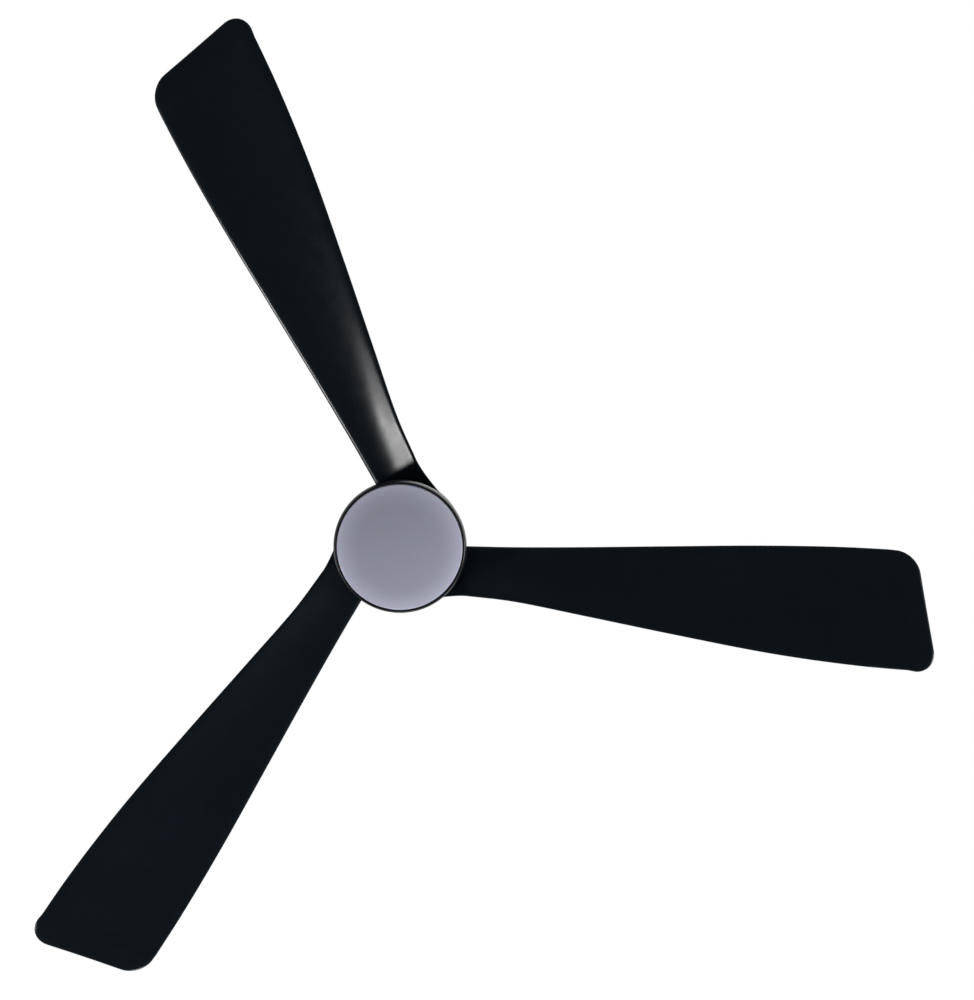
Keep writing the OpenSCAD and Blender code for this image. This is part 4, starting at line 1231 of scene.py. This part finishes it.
class Studio:
    """The camera, the pale surroundings, the floor and the lights."""

    CAMERA_PLACE = (0.11987, -0.33026, -3.70759)
    LENS = 103.88
    SENSOR = 36.0
    SIGHT = 200.0
    RIGHT = Vector((0.99911, -0.04115, 0.00851))
    DOWN = Vector((0.04169, 0.99608, -0.07803))
    FORWARD = Vector((-0.00526, 0.07832, 0.99691))
    FLOOR_LEVEL = -7.0
    FLOOR_RADIUS = 60.0
    # Strength of the room's light from straight below, from the side and from straight above
    ROOM = (0.08, 0.3, 0.5)
    LIGHTS = (
        SoftBox("window", (-2.4, 1.5, -2.4), (0.0, -0.12, -0.2), (0.45, 1.2), 36.0),
        SoftBox("above", (1.6, -2.2, 3.2), (0.0, 0.0, -0.2), (5.0, 5.0), 60.0),
        SoftBox("left", (-3.6, 0.6, -1.0), (0.0, 0.0, -0.28), (1.2, 2.4), 14.0),
        SoftBox("right", (3.6, 0.4, -1.0), (0.0, 0.0, -0.28), (1.2, 2.4), 90.0),
        SoftBox("front", (0.3, 3.6, -1.0), (0.0, 0.0, -0.28), (1.2, 2.4), 40.0),
    )

    def camera(self) -> None:
        """Stands the camera under the fan, looking up."""
        data = bpy.data.cameras.new("camera")
        data.lens = self.LENS
        data.sensor_width = self.SENSOR
        data.clip_end = self.SIGHT
        camera = bpy.data.objects.new("camera", data)
        bpy.context.scene.collection.objects.link(camera)
        turn = Matrix((self.RIGHT, -self.DOWN, -self.FORWARD)).transposed().to_4x4()
        camera.matrix_world = Matrix.Translation(self.CAMERA_PLACE) @ turn
        bpy.context.scene.camera = camera

    def surroundings(self) -> None:
        """Makes the world white behind the fan, and softer where it lights it."""
        world = bpy.data.worlds.new("studio")
        world.use_nodes = True
        bpy.context.scene.world = world
        tree = world.node_tree
        tree.nodes.clear()
        output = tree.nodes.new("ShaderNodeOutputWorld")
        mix = tree.nodes.new("ShaderNodeMixShader")
        path = tree.nodes.new("ShaderNodeLightPath")
        backdrop = tree.nodes.new("ShaderNodeBackground")
        backdrop.inputs["Color"].default_value = (1.0, 1.0, 1.0, 1.0)
        backdrop.inputs["Strength"].default_value = 1.0
        room = tree.nodes.new("ShaderNodeBackground")
        room.inputs["Color"].default_value = (0.95, 0.97, 1.0, 1.0)
        tree.links.new(self.room_light(tree), room.inputs["Strength"])
        tree.links.new(path.outputs["Is Camera Ray"], mix.inputs["Fac"])
        tree.links.new(room.outputs["Background"], mix.inputs[1])
        tree.links.new(backdrop.outputs["Background"], mix.inputs[2])
        tree.links.new(mix.outputs["Shader"], output.inputs["Surface"])

    def room_light(self, tree: bpy.types.NodeTree) -> bpy.types.NodeSocket:
        """Brightens the room round the horizon, as pale walls do.

        Args:
            tree: The world's node tree.

        Returns:
            The socket with the room's strength.
        """
        direction = tree.nodes.new("ShaderNodeTexCoord")
        split = tree.nodes.new("ShaderNodeSeparateXYZ")
        ramp = tree.nodes.new("ShaderNodeFloatCurve")
        points = ramp.mapping.curves[0].points
        points[0].location = (0.0, self.ROOM[0])
        points[1].location = (1.0, self.ROOM[2])
        points.new(0.5, self.ROOM[1])
        ramp.mapping.update()
        height = tree.nodes.new("ShaderNodeMapRange")
        height.inputs["From Min"].default_value = -1.0
        tree.links.new(direction.outputs["Generated"], split.inputs["Vector"])
        tree.links.new(split.outputs["Z"], height.inputs["Value"])
        tree.links.new(height.outputs["Result"], ramp.inputs["Value"])
        return ramp.outputs["Value"]

    def floor(self) -> None:
        """Lays a wide pale floor far below the fan."""
        mesh = bmesh.new()
        bmesh.ops.create_circle(mesh, cap_ends=True, segments=96, radius=self.FLOOR_RADIUS)
        bmesh.ops.translate(mesh, vec=(0.0, 0.0, self.FLOOR_LEVEL), verts=mesh.verts[:])
        floor = finished("studio_floor", mesh)
        recipe = Recipe("pale_floor")
        recipe.tint(recipe.noise(recipe.place(), 0.4, 3.0), (0.76, 0.76, 0.77), (0.8, 0.8, 0.81))
        recipe.shader.inputs["Roughness"].default_value = 0.9
        recipe.shader.inputs["Specular IOR Level"].default_value = 0.1
        recipe.shader.inputs["Emission Color"].default_value = (1.0, 1.0, 1.0, 1.0)
        recipe.shader.inputs["Emission Strength"].default_value = 0.5
        floor.data.materials.append(recipe.material)
        floor.visible_diffuse = False
        floor.visible_glossy = False

    def build(self) -> None:
        """Sets up the whole studio."""
        self.camera()
        self.surroundings()
        self.floor()
        for light in self.LIGHTS:
            light.build()
        bpy.context.scene.view_settings.view_transform = "Standard"


def main() -> None:
    """Builds the studio and every sub-assembly of the fan, in order."""
    logging.basicConfig(level=logging.INFO, format="%(message)s")
    Studio().build()
    shop = Workshop(Paintshop())
    shop.paint.dress_nodes()
    assemblies = [
        OpalLens(), BezelRing(), LightHousing(), *[Blade(number) for number in range(3)],
        MotorCover(), CouplingCover(), RodTube(), CanopyBowl(),
    ]
    for assembly in assemblies:
        assembly.build(shop)
        log.info("%s is done", type(assembly).__name__)


if __name__ == "__main__":
    main()
